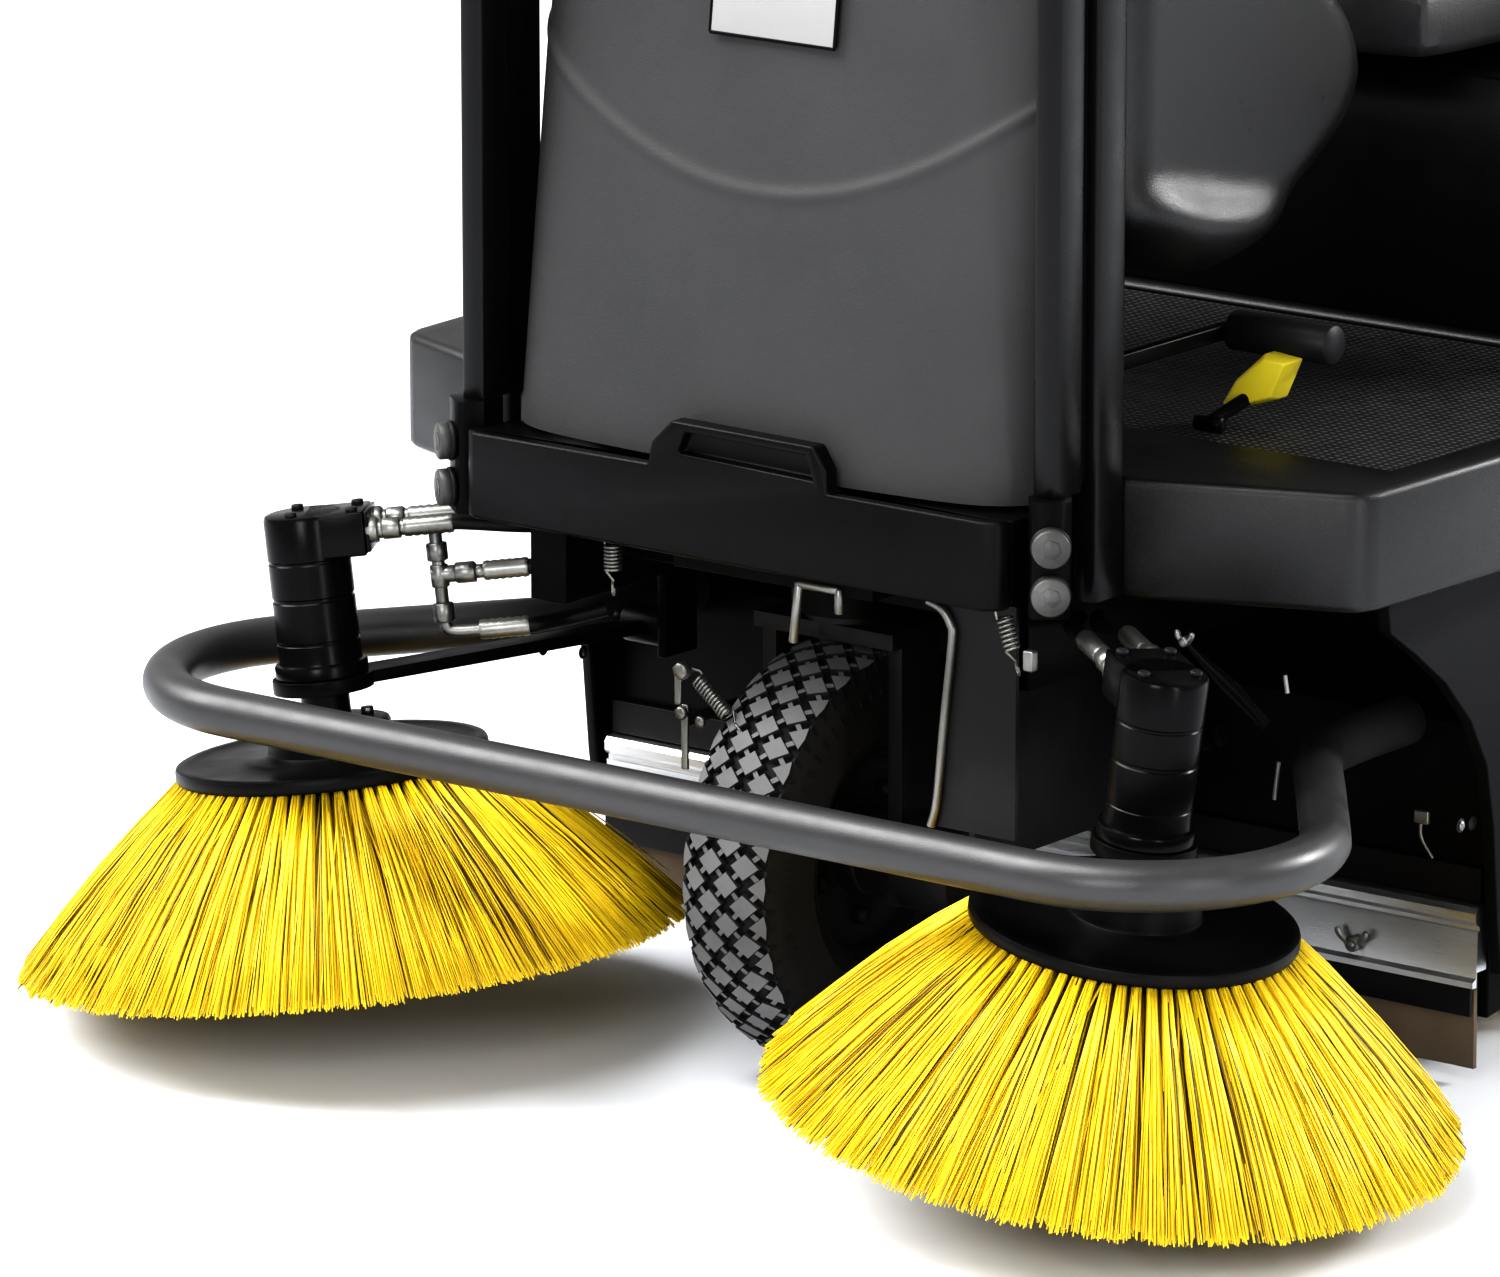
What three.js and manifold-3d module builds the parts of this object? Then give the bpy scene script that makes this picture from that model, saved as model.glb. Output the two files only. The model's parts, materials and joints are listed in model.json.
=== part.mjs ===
// Ride-on sweeper with two side brushes, a main roller and a high-dump hopper.
// Millimetres. The machine drives towards -Y, +X is the driver's left, +Z is up and the floor is z = 0.
// Inside the group, y = 0 is the line through the two side-brush axes.
import * as THREE from 'three';
import { mergeVertices } from 'three/addons/utils/BufferGeometryUtils.js';
import Module from 'manifold-3d';

const wasm = await Module();
wasm.setup();

// ---- Driving dimensions -------------------------------------------------------------------
const GAP = 0.3; // clearance between pieces that rest on each other
const SIDES = [['left', 1], ['right', -1]];

const BRUSH_X = 484; // side-brush axis, from the centre plane
const BRUSH_DISC_Z = 266; // centre of the brush disc
const BRUSH_TILT = THREE.MathUtils.degToRad(7.6); // top of the axis leans outwards
const PORT_TURN = THREE.MathUtils.degToRad(-33); // the motor's ports face inwards and to the rear
const PORT_FACE = -62; // in the turned frame of the motor head
const DISC_RADIUS = 155;
const BRISTLE_RADIUS = 331;
const BRISTLE_DROP = 187; // along the axis, from disc centre to tips
const REAR_Y = 2110;
const FRONT_Y = -BRISTLE_RADIUS;

const TYRE_RADIUS = 212;
const TYRE_WIDTH = 108;
const WHEEL_SIDES = 24;
const RIM_RADIUS = 108;
const FRONT_AXLE_Y = 205;
const REAR_AXLE_Y = 1340;
const REAR_WHEEL_X = 478;

const RAIL_X = [256, 300];
const RAIL_Z = [440, 520];
const ARM_PIVOT = { x: 332, y: 310, z: 364 };

const BUMPER = { y: -158, z: 345, tube: 24, bendX: 483, bend: 170, legAngle: 38 };

const BELT = { half: 304, corner: 18, y: [2, 26], z: [534, 620] };
const POST = { x: 342, y: 70, width: 28, depth: 44, base: 640 };
const POST_BACK = { x: 348.5, y: 127, width: 27, depth: 46, base: 531 };
const POST_FOOT = { x: 343, y: 57, width: 40, depth: 50, bottom: 528, turn: THREE.MathUtils.degToRad(38) };
const ROOF_Z = 2050;
const FLOOR = { bottom: 527, top: 643, pocket: 626 };
const COVER = { half: 312, bottom: 622, top: 1176, y: 26, lean: 0.12, wall: 6 };
const COLUMN = { half: 270, rear: 262, top: 1172 };
const POD_HALF = 300;
const PANEL = { x: [546, 560], top: 900 };

const ROLLER = { y: 745, z: 152, radius: 150, core: 62, half: 500 };
const SWING_ARM = { rear: 958, z: [280, 330] };
const CONSOLE = { half: 420, y: [885, 1370], z: [643.3, 895] };
const SEAT = { half: 240, y: [835, 1250], z: [905, 1010] };
const BACK = { half: 235, z: [1015, 1480], y: 1262, thick: 78 };
const HOOD = { half: 540, y: [1385, 1612], z: [903, 1035] };
const LIFT_PIVOT = { y: 1180, z: 845 };
const LIFT_ARM = { length: 700, droop: THREE.MathUtils.degToRad(36), x: [574, 592] };
const HOPPER = { half: 520, y: [1632, REAR_Y], z: [330, 985], wall: 8 };
const TILT_HINGE = { y: REAR_Y - 40, z: 300 };
const WHEEL_HUB = { y: 590, z: 1200, tilt: THREE.MathUtils.degToRad(30) };

// ---- Finishes -----------------------------------------------------------------------------
const FINISH = {
  frame: { color: 0x26272a, roughness: 0.5, metalness: 0.3 },
  moulding: { color: 0x1b1c1e, roughness: 0.38, metalness: 0.0 },
  cover: { color: 0x5b5d60, roughness: 0.55, metalness: 0.0 },
  bristle: { color: 0xf2d40a, roughness: 0.6, metalness: 0.0 },
  yellow: { color: 0xd8c21c, roughness: 0.45, metalness: 0.0 },
  tyre: { color: 0x3a3b3d, roughness: 0.85, metalness: 0.0 },
  rubber: { color: 0x4a443e, roughness: 0.8, metalness: 0.0 },
  mat: { color: 0x161719, roughness: 0.7, metalness: 0.0 },
  zinc: { color: 0x9a9b98, roughness: 0.35, metalness: 0.9 },
  aluminium: { color: 0xa9adb0, roughness: 0.4, metalness: 0.9 },
  motor: { color: 0x1e1f22, roughness: 0.42, metalness: 0.4 },
  iron: { color: 0x4d4f52, roughness: 0.6, metalness: 0.7 },
  vinyl: { color: 0x17181a, roughness: 0.6, metalness: 0.0 },
};

// ---- Geometry helpers ---------------------------------------------------------------------
const vec = (x, y, z) => new THREE.Vector3(x, y, z);

function block(x, y, z) {
  const box = new THREE.BoxGeometry(x[1] - x[0], y[1] - y[0], z[1] - z[0]);
  return box.translate((x[0] + x[1]) / 2, (y[0] + y[1]) / 2, (z[0] + z[1]) / 2);
}

function rod(from, to, radius, sides = 16) {
  const along = to.clone().sub(from);
  const cylinder = new THREE.CylinderGeometry(radius, radius, along.length(), sides);
  const turn = new THREE.Quaternion().setFromUnitVectors(vec(0, 1, 0), along.clone().normalize());
  const middle = from.clone().add(to).multiplyScalar(0.5);
  return cylinder.applyQuaternion(turn).translate(middle.x, middle.y, middle.z);
}

const outline = (points) => new THREE.Shape(points.map(([a, b]) => new THREE.Vector2(a, b)));

function extruded(points, depth) {
  return new THREE.ExtrudeGeometry(outline(points), { depth, bevelEnabled: false, curveSegments: 8 });
}

// An outline in X and Y, raised from z[0] to z[1].
function slabZ(points, z) {
  return extruded(points, z[1] - z[0]).translate(0, 0, z[0]);
}

// An outline in Y and Z, spread from x[0] to x[1].
function slabX(points, x) {
  const turn = new THREE.Matrix4().set(0, 0, 1, 0, 1, 0, 0, 0, 0, 1, 0, 0, 0, 0, 0, 1);
  return extruded(points, x[1] - x[0]).applyMatrix4(turn).translate(x[0], 0, 0);
}

// An outline in X and Z, spread from y[0] to y[1].
function slabY(points, y) {
  return extruded(points, y[1] - y[0]).rotateX(Math.PI / 2).translate(0, y[1], 0);
}

// A profile of [radius, height] points turned about Z.
function turned(profile, sides = 32) {
  const points = profile.map(([radius, height]) => new THREE.Vector2(radius, height));
  return new THREE.LatheGeometry(points, sides).rotateX(Math.PI / 2);
}

// A closed ring profile: the last point repeats the first.
const closed = (profile) => [...profile, profile[0]];

// A round tube along a smooth line; curveSegments counts the sides of half of its section.
function tube(points, radius, curveSegments = 5, steps = 40) {
  const section = new THREE.Shape();
  section.absarc(0, 0, radius, 0, 2 * Math.PI, false);
  const extrudePath = new THREE.CatmullRomCurve3(points, false, 'centripetal');
  return new THREE.ExtrudeGeometry(section, { steps, extrudePath, curveSegments });
}

function solid(geometry) {
  const bare = geometry.clone();
  bare.deleteAttribute('normal');
  bare.deleteAttribute('uv');
  const merged = mergeVertices(bare, 1e-3);
  const mesh = new wasm.Mesh({
    numProp: 3,
    vertProperties: new Float32Array(merged.attributes.position.array),
    triVerts: new Uint32Array(merged.index.array),
  });
  return new wasm.Manifold(mesh);
}

function geometryOf(manifold) {
  const mesh = manifold.getMesh();
  const geometry = new THREE.BufferGeometry();
  geometry.setAttribute('position', new THREE.BufferAttribute(mesh.vertProperties, 3));
  geometry.setIndex(new THREE.BufferAttribute(mesh.triVerts, 1));
  return geometry;
}

function join(first, ...others) {
  return geometryOf(others.reduce((sum, other) => sum.add(solid(other)), solid(first)));
}

function cut(first, ...others) {
  return geometryOf(others.reduce((rest, other) => rest.subtract(solid(other)), solid(first)));
}

// The same shape on the other side of the machine.
function mirrored(geometry) {
  return geometryOf(solid(geometry).mirror([1, 0, 0]));
}

function onSide(geometry, side) {
  return side > 0 ? geometry : mirrored(geometry);
}

// A distance range along X on the side's own half of the machine, in rising order.
const spanOn = (side, near, far) => [near * side, far * side].sort((a, b) => a - b);

const machine = new THREE.Group();
machine.position.y = -(REAR_Y + FRONT_Y) / 2;

function part(name, geometry, look) {
  const mesh = new THREE.Mesh(geometry, new THREE.MeshStandardMaterial(FINISH[look]));
  mesh.name = name;
  machine.add(mesh);
}

// ---- Frame --------------------------------------------------------------------------------
// One side rail with the bracket and pin that carry the side-brush arm.
function rail(side) {
  const [inner, outer] = RAIL_X;
  const { x, y, z } = ARM_PIVOT;
  const beam = block([inner, outer], [84, 1600], RAIL_Z);
  const bracket = block([outer - 10, outer], [y - 26, y + 26], [z - 24, RAIL_Z[0] + 1]);
  const pin = rod(vec(outer - 1, y, z), vec(x + 32, y, z), 9, 16);
  const head = rod(vec(x + 28, y, z), vec(x + 36, y, z), 13, 16);
  return onSide(join(beam, bracket, pin, head), side);
}

function steeringHead() {
  const half = RAIL_X[0] - GAP;
  const crossmember = block([-318, 318], [32, 82], [537, 617]);
  const strut = block([-120, 120], [80, 160], [500, 566]);
  const plate = block([-half, half], [150, 278], [480, 522]);
  const housing = rod(vec(0, FRONT_AXLE_Y, 455), vec(0, FRONT_AXLE_Y, 524), 58, 24);
  const bore = rod(vec(0, FRONT_AXLE_Y, 440), vec(0, FRONT_AXLE_Y, 505), 25.2, 24);
  return cut(join(crossmember, strut, plate, housing), bore);
}

function rearAxle() {
  const half = REAR_WHEEL_X - TYRE_WIDTH / 2 - 8;
  const y = [REAR_AXLE_Y - 32, REAR_AXLE_Y + 32];
  const hub = (side) => vec(side * REAR_WHEEL_X, REAR_AXLE_Y, TYRE_RADIUS);
  const beam = block([-half, half], y, [TYRE_RADIUS - 30, TYRE_RADIUS + 30]);
  const stub = rod(hub(-1), hub(1), 15, 16);
  const legs = SIDES.map(([, side]) => block(spanOn(side, ...RAIL_X), y, [TYRE_RADIUS, RAIL_Z[0] - GAP]));
  return join(beam, stub, ...legs);
}

// ---- Bumper loop --------------------------------------------------------------------------
// Half of the tube's centre line: front straight, wide bend, leg that runs inwards, then straight back.
function bumperHalf() {
  const { y, z, bendX, bend, legAngle } = BUMPER;
  const sweep = THREE.MathUtils.degToRad(90 + legAngle);
  const steps = 12;
  const points = [vec(0, y, z), vec(bendX * 0.5, y, z), vec(bendX * 0.9, y, z)];
  for (let step = 0; step <= steps; step += 1) {
    const turn = (sweep * step) / steps;
    points.push(vec(bendX + bend * Math.sin(turn), y + bend - bend * Math.cos(turn), z));
  }
  points.push(vec(520, 250, z), vec(468, 322, z), vec(445, 370, z), vec(438, 430, z), vec(438, 515.4, z));
  return points;
}

function bumperLoop() {
  const left = bumperHalf();
  const right = left.slice(1).reverse().map((point) => vec(-point.x, point.y, point.z));
  return tube([...right, ...left], BUMPER.tube, 6, 64);
}

// ---- Belt under the front cover -----------------------------------------------------------
function frontBelt() {
  const { half, corner, y, z } = BELT;
  const plan = [
    [-half - corner, y[1]], [-half - corner * 0.8, y[0] + 9], [-half, y[0]],
    [half, y[0]], [half + corner * 0.8, y[0] + 9], [half + corner, y[1]],
  ];
  const band = slabZ(plan, z);
  const top = z[1];
  const grip = [
    [-92, top - 2], [122, top - 2], [122, top + 22], [108, top + 44], [-62, top + 46], [-86, top + 22],
  ];
  const recess = [[-56, top + 14], [106, top + 10], [98, top + 34], [-46, top + 36]];
  const hump = slabY(grip, [y[0], y[1] - 3]);
  const slot = slabY(recess, [y[0] - 1, y[0] + 14]);
  return cut(join(band, hump), slot);
}

// ---- Guard posts and roof -----------------------------------------------------------------
function roundedRect(width, depth, radius = 8) {
  const points = [];
  const corners = [[1, 1, 0], [-1, 1, 90], [-1, -1, 180], [1, -1, 270]];
  corners.forEach(([sx, sy, start]) => {
    for (let step = 0; step <= 2; step += 1) {
      const turn = THREE.MathUtils.degToRad(start + 45 * step);
      const x = sx * (width / 2 - radius) + radius * Math.cos(turn);
      const y = sy * (depth / 2 - radius) + radius * Math.sin(turn);
      points.push([x, y]);
    }
  });
  return points;
}

// A front post: the tube above the foot, a second tube close behind it, and the web between them.
function frontPost(side) {
  const [front, back] = [POST, POST_BACK].map(({ x, y, width, depth, base }) => (
    slabZ(roundedRect(width, depth, 5), [base, ROOF_Z]).translate(x, y, 0)
  ));
  const web = block([POST.x - 6, POST.x + 6], [POST.y, POST_BACK.y], [POST.base + 5, ROOF_Z]);
  return onSide(join(front, back, web), side);
}

// The foot sleeve below a front post, with its two flange bolts on the diagonal outer face.
function postFoot(side) {
  const { x, y, width, depth, bottom, turn } = POST_FOOT;
  const top = POST.base - GAP;
  const face = -depth / 2;
  const sleeve = slabZ(roundedRect(width, depth), [0, top - bottom]);
  const bolts = [24, 70].map((z) => rod(vec(0, face + 1, z), vec(0, face - 14, z), 17, 12));
  const built = join(sleeve, ...bolts).rotateZ(turn).translate(x, y, bottom);
  const besideBelt = block([200, BELT.half + BELT.corner + 4], [20, 90], [bottom - 5, top + 5]);
  return onSide(cut(built, besideBelt), side);
}

const REAR_POST = { x: 470, y: 1325, base: CONSOLE.z[1] + GAP };

function rearHoop() {
  const { x, y, base } = REAR_POST;
  const top = ROOF_Z - 22;
  const posts = [-x, x].map((at) => slabZ(roundedRect(42, 42), [base, top]).translate(at, y, 0));
  const bar = block([-x, x], [y - 20, y + 20], [top - 42, top]);
  return join(bar, ...posts);
}

function roofPanel() {
  const plan = [
    [-400, 20], [-360, -20], [360, -20], [400, 20], [520, 1380], [490, 1420], [-490, 1420], [-520, 1380],
  ];
  const sheet = slabZ(plan, [ROOF_Z + GAP, ROOF_Z + 28]);
  const underside = block([-470, 470], [1250, 1400], [ROOF_Z - 22 + GAP, ROOF_Z + 2]);
  return join(sheet, underside);
}

// ---- Footwell -----------------------------------------------------------------------------
function footboardPlan() {
  const half = [
    [0, 104], [332, 104], [332, 152], [378, 152], [560, 222], [575, 232], [582, 252], [592, 480],
    [600, 950],
  ];
  const other = half.slice(1).reverse().map(([x, y]) => [-x, y]);
  return [...half, ...other];
}

function footboard() {
  const shell = slabZ(footboardPlan(), [FLOOR.bottom, FLOOR.top]);
  const pocket = slabZ([[-538, 335], [538, 335], [560, 872], [-560, 872]], [FLOOR.pocket, FLOOR.top + 5]);
  const underside = block([-255, 255], [84, 940], [FLOOR.bottom - 5, FLOOR.bottom + 50]);
  return cut(shell, pocket, underside);
}

function floorMat() {
  return slabZ([[-532, 341], [532, 341], [554, 866], [-554, 866]], [FLOOR.pocket + GAP, FLOOR.pocket + 9]);
}

const leanY = (z) => COVER.lean * (z - COVER.bottom);

// The grey cover: a curved panel that leans back.
function frontCover() {
  const { half, bottom, top, y, wall } = COVER;
  const bow = (x) => y + 22 * (x / half) ** 2 + 40 * Math.abs(x / half) ** 12;
  const steps = 14;
  const outer = [];
  const inner = [];
  for (let step = 0; step <= steps; step += 1) {
    const x = half * Math.sin((Math.PI / 2) * (-1 + (2 * step) / steps));
    outer.push([x, bow(x)]);
    inner.push([x * (1 - wall / half), bow(x) + wall]);
  }
  const tall = slabZ([...outer, ...inner.reverse()], [bottom, top]);
  const shear = new THREE.Matrix4().makeShear(0, 0, 0, 0, 0, COVER.lean);
  return geometryOf(solid(tall.applyMatrix4(shear).translate(0, -COVER.lean * bottom, 0)));
}

// The blank plate near the top of the grey cover, where a maker's sign would be.
function coverPlate() {
  const z = [1030, 1086];
  const face = (height) => COVER.y - GAP + leanY(height);
  const side = [[face(z[0]), z[0]], [face(z[1]), z[1]], [face(z[1]) - 3, z[1]], [face(z[0]) - 3, z[0]]];
  return slabX(side, [-68, 78]);
}

// The black column behind the grey cover.
function columnCover() {
  const { half, rear, top } = COLUMN;
  const front = (z) => 118 + leanY(z);
  const bottom = FLOOR.top + GAP;
  return slabX([[front(bottom), bottom], [rear, bottom], [rear, top], [front(top), top]], [-half, half]);
}

// The pod that carries the instruments, with its rounded underside over the footwell.
function dashboard() {
  const front = COLUMN.rear + GAP;
  const side = [
    [front, 878], [275, 846], [308, 812], [358, 784], [425, 778], [508, 793], [593, 833], [650, 868],
    [690, 905], [700, 950], [660, 1020], [560, 1090], [420, 1140], [310, COLUMN.top], [front, COLUMN.top],
  ];
  const body = slabX(side, [-POD_HALF, POD_HALF]);
  const column = rod(vec(0, 480, 1010), vec(0, 534, 1103), 34, 20);
  return join(body, column);
}

function steeringWheel() {
  const rim = new THREE.TorusGeometry(182, 14, 8, 28);
  const spokes = [90, 210, 330].map((angle) => {
    const turn = THREE.MathUtils.degToRad(angle);
    return rod(vec(0, 0, -4), vec(178 * Math.cos(turn), 178 * Math.sin(turn), 0), 9, 8);
  });
  const hub = rod(vec(0, 0, -30), vec(0, 0, 12), 40, 20);
  const shaft = rod(vec(0, 0, -108), vec(0, 0, -20), 16, 16);
  const wheel = join(rim, hub, shaft, ...spokes);
  return wheel.rotateX(-WHEEL_HUB.tilt).translate(0, WHEEL_HUB.y, WHEEL_HUB.z);
}

// ---- Pedals and levers --------------------------------------------------------------------
function brakePedal() {
  const outer = [[281, 656], [291, 648], [344, 666], [362, 706], [328, 709], [294, 678]];
  const pad = slabY(outer, [416, 444]);
  const stem = rod(vec(312, 424, 662), vec(306, 366, 649), 7, 10);
  const pivot = rod(vec(292, 366, 648), vec(322, 366, 648), 8, 12);
  return join(pad, stem, pivot);
}

function drivePedal() {
  const slope = THREE.MathUtils.degToRad(-32);
  const pad = block([-60, 60], [0, 130], [0, 12]).rotateX(slope).translate(-360, 380, 726);
  const stem = rod(vec(-360, 430, 694), vec(-360, 372, 652), 9, 10);
  const pivot = rod(vec(-390, 372, 648), vec(-330, 372, 648), 8, 12);
  return join(pad, stem, pivot);
}

function hopperLever() {
  const knob = new THREE.SphereGeometry(17, 14, 10).translate(455, 1010, 1050);
  const stem = rod(vec(455, 1000, 905), vec(455, 1010, 1045), 7, 10);
  const boss = rod(vec(440, 1000, 907), vec(470, 1000, 907), 10, 12);
  return join(stem, knob, boss);
}

// ---- Wheels -------------------------------------------------------------------------------
function tyre() {
  const half = TYRE_WIDTH / 2;
  const profile = closed([
    [RIM_RADIUS, -half + 14], [154, -half + 1], [186, -half], [203, -half + 8], [TYRE_RADIUS, -half + 22],
    [TYRE_RADIUS, half - 22], [203, half - 8], [186, half], [154, half - 1], [RIM_RADIUS, half - 14],
  ]);
  return turned(profile, WHEEL_SIDES).rotateY(Math.PI / 2);
}

function rim() {
  const seat = RIM_RADIUS - 2 * GAP;
  const bore = 15.6;
  const half = [[seat, 38], [96, 8], [44, 8], [42, 34], [bore, 34]];
  const other = half.map(([radius, across]) => [radius, -across]).reverse();
  return turned(closed([...other, ...half]), WHEEL_SIDES).rotateY(Math.PI / 2);
}

const atFrontWheel = (geometry) => geometry.translate(0, FRONT_AXLE_Y, TYRE_RADIUS);
const atRearWheel = (geometry, side) => geometry.translate(side * REAR_WHEEL_X, REAR_AXLE_Y, TYRE_RADIUS);

function steeringFork() {
  const bridge = block([-84, 84], [FRONT_AXLE_Y - 45, FRONT_AXLE_Y + 45], [430, 446]);
  const pin = rod(vec(0, FRONT_AXLE_Y, 430), vec(0, FRONT_AXLE_Y, 500), 24.6, 24);
  const collar = rod(vec(0, FRONT_AXLE_Y, 434), vec(0, FRONT_AXLE_Y, 454), 46, 24);
  const legs = SIDES.map(([, side]) => (
    block(spanOn(side, 68, 84), [FRONT_AXLE_Y - 30, FRONT_AXLE_Y + 30], [TYRE_RADIUS - 40, 432])
  ));
  const axle = rod(vec(-80, FRONT_AXLE_Y, TYRE_RADIUS), vec(80, FRONT_AXLE_Y, TYRE_RADIUS), 15, 16);
  const motor = rod(vec(83, FRONT_AXLE_Y, TYRE_RADIUS), vec(150, FRONT_AXLE_Y, TYRE_RADIUS), 48, 20);
  return join(bridge, pin, collar, axle, motor, ...legs);
}

// The plate beside the front wheel, on the driver's left.
function cheekPlate() {
  const face = block([214, 318], [56, 64], [300, 530]);
  const wall = block([246, 254], [63, 300], [262, RAIL_Z[0] - GAP]);
  return join(face, wall);
}

// ---- Side brushes -------------------------------------------------------------------------
// Moves a piece from the brush's own frame, with Z along its axis, to the left brush of the machine.
function toBrush(geometry) {
  return geometry.rotateY(BRUSH_TILT).translate(BRUSH_X, 0, BRUSH_DISC_Z);
}

function brushDisc() {
  const rimHeight = 8;
  const profile = [
    [0, 0], [118, 0], [118, -rimHeight + 1], [DISC_RADIUS, -rimHeight + 1], [DISC_RADIUS, rimHeight],
    [62, rimHeight], [62, 38], [24, 38], [24, 68], [0, 68],
  ];
  return toBrush(turned(profile, 32));
}

// The bristle ring: a flaring skirt that starts under the disc's rim.
function brushBristles() {
  const top = -7.3;
  const thick = 34;
  const profile = closed([
    [120, top], [DISC_RADIUS - 30, top - 34], [BRISTLE_RADIUS - 96, -BRISTLE_DROP + 14],
    [BRISTLE_RADIUS - thick, -BRISTLE_DROP], [BRISTLE_RADIUS, -BRISTLE_DROP],
    [BRISTLE_RADIUS - 78, -BRISTLE_DROP + 88], [DISC_RADIUS - 2, top],
  ]);
  return toBrush(turned(profile, 36));
}

function brushArm() {
  const { x, y, z } = ARM_PIVOT;
  const ring = rod(vec(0, 0, 70), vec(0, 0, 84), 50, 24);
  const reach = { x: x - BRUSH_X - 10, y: y - 14 };
  const wide = new THREE.Vector2(-reach.y, reach.x).normalize().multiplyScalar(26);
  const narrow = wide.clone().multiplyScalar(0.7);
  const bar = slabZ([
    [wide.x, wide.y], [-wide.x, -wide.y],
    [reach.x - narrow.x, reach.y - narrow.y], [reach.x + narrow.x, reach.y + narrow.y],
  ], [72, 84]);
  const plate = toBrush(join(ring, bar));
  const sleeve = rod(vec(x - 27, y, z), vec(x + 22, y, z), 20, 24);
  const bore = rod(vec(x - 40, y, z), vec(x + 60, y, z), 9.8, 24);
  return cut(join(plate, sleeve), bore);
}

function brushMotor() {
  const profile = [
    [0, 84 + GAP], [46, 84 + GAP], [46, 98], [41, 100], [41, 163], [39, 164], [39, 167], [41, 168],
    [41, 200], [0, 200],
  ];
  const barrel = turned(profile, 20);
  const cap = rod(vec(0, 0, 199), vec(0, 0, 247), 41, 20);
  const ports = block([PORT_FACE, 0], [-36, 36], [203, 247]).rotateZ(PORT_TURN);
  return toBrush(join(barrel, cap, ports));
}

// A hose end screwed into the motor head: port nut, union nut and the long crimped ferrule.
function hoseEnd(y, z) {
  const start = PORT_FACE - GAP;
  const spot = (reach) => vec(start - reach, y, z);
  const portNut = rod(spot(0), spot(12), 14, 6);
  const neck = rod(spot(11), spot(17), 9, 12);
  const unionNut = rod(spot(16), spot(34), 11, 6);
  const ferrule = rod(spot(33), spot(86), 10, 12);
  return join(portNut, neck, unionNut, ferrule);
}

// The tee below the front hose end: a pipe down with two more hose ends.
function teeBranches(y, z) {
  const x = PORT_FACE - 67;
  const at = (dx, dz) => vec(x + dx, y, z + dz);
  const down = rod(at(0, 0), at(0, -88), 6, 10);
  const nuts = [[-18, -38], [-80, -98]].map(([from, to]) => rod(at(0, from), at(0, to), 10, 6));
  const branch = rod(at(0, -50), at(-26, -50), 7, 10);
  const branchNut = rod(at(-24, -50), at(-46, -50), 11, 6);
  const branchFerrule = rod(at(-45, -50), at(-88, -50), 10, 12);
  const bend = tube([at(0, -96), at(-8, -106), at(-36, -108)], 6, 4, 6);
  const lowFerrule = rod(at(-34, -108), at(-83, -108), 10, 12);
  return join(down, branch, branchNut, branchFerrule, bend, lowFerrule, ...nuts);
}

// The hydraulic fittings of one brush motor, and the hoses that run from them to the side rail.
function brushFittings(hasTee) {
  const ports = [{ y: -21, z: 226 }, { y: 21, z: 230 }];
  const portPlate = block([PORT_FACE - 5, PORT_FACE - GAP], [-33, 33], [206, 246]);
  const fittings = [portPlate, ...ports.map(({ y, z }) => hoseEnd(y, z))];
  const routes = [
    [[-142, -21, 226], [-156, -21, 226], [330, 110, 504], [311, 150, 500]],
    [[-142, 21, 230], [-154, 21, 230], [350, 128, 504], [318, 170, 498]],
  ];
  if (hasTee) {
    fittings.push(teeBranches(ports[0].y, ports[0].z));
    routes.push([[-214, -21, 176], [-226, -19, 176], [315, 128, 465], [315, 165, 462]]);
    routes.push([[-208, -21, 118], [-220, -19, 118], [296, 136, 410], [270, 164, 418]]);
  }
  const onMotor = ([x, y, z]) => (
    vec(x, y, z).applyAxisAngle(vec(0, 0, 1), PORT_TURN).applyAxisAngle(vec(0, 1, 0), BRUSH_TILT)
      .add(vec(BRUSH_X, 0, BRUSH_DISC_Z))
  );
  const hoses = routes.map(([start, leaving, ...beside]) => (
    tube([onMotor(start), onMotor(leaving), ...beside.map((point) => vec(...point))], 7.5, 4, 8)
  ));
  return join(toBrush(join(...fittings).rotateZ(PORT_TURN)), ...hoses);
}

// ---- Main roller --------------------------------------------------------------------------
function rollerHousing() {
  const outer = [[516, 62], [516, 352], [980, 352], [980, 120]];
  const hollow = [[523, 20], [523, 345], [972, 345], [972, 20]];
  const shell = slabX(outer, [-538, 538]);
  const inside = slabX(hollow, [-531, 531]);
  const cutOut = slabX([[500, 0], [500, 62], [980, 62], [1000, 120], [1000, 0]], [-540, 540]);
  return cut(shell, inside, cutOut);
}

function flapBar() {
  return block([-536, 536], [497, 515.6], [112, 186]);
}

function frontFlap() {
  return slabX([[499, 12], [505, 12], [505, 112 - GAP], [499, 112 - GAP]], [-534, 534]);
}

function rollerFrame() {
  const { y, z, half } = ROLLER;
  const plan = [
    [y - 26, z - 26], [y + 26, z - 26], [SWING_ARM.rear, SWING_ARM.z[0]], [SWING_ARM.rear, SWING_ARM.z[1]],
    [y - 26, z + 40],
  ];
  const arms = SIDES.map(([, side]) => slabX(plan, spanOn(side, half + 6, half + 16)));
  const axle = rod(vec(-half - 10, y, z), vec(half + 10, y, z), 14, 16);
  const bar = rod(vec(-half - 10, 935, 300), vec(half + 10, 935, 300), 12, 12);
  return join(axle, bar, ...arms);
}

function rollerCore() {
  const { half, core } = ROLLER;
  const profile = closed([[14.6, -half + 4], [core, -half + 4], [core, half - 4], [14.6, half - 4]]);
  return turned(profile, 28).rotateY(Math.PI / 2).translate(0, ROLLER.y, ROLLER.z);
}

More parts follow.
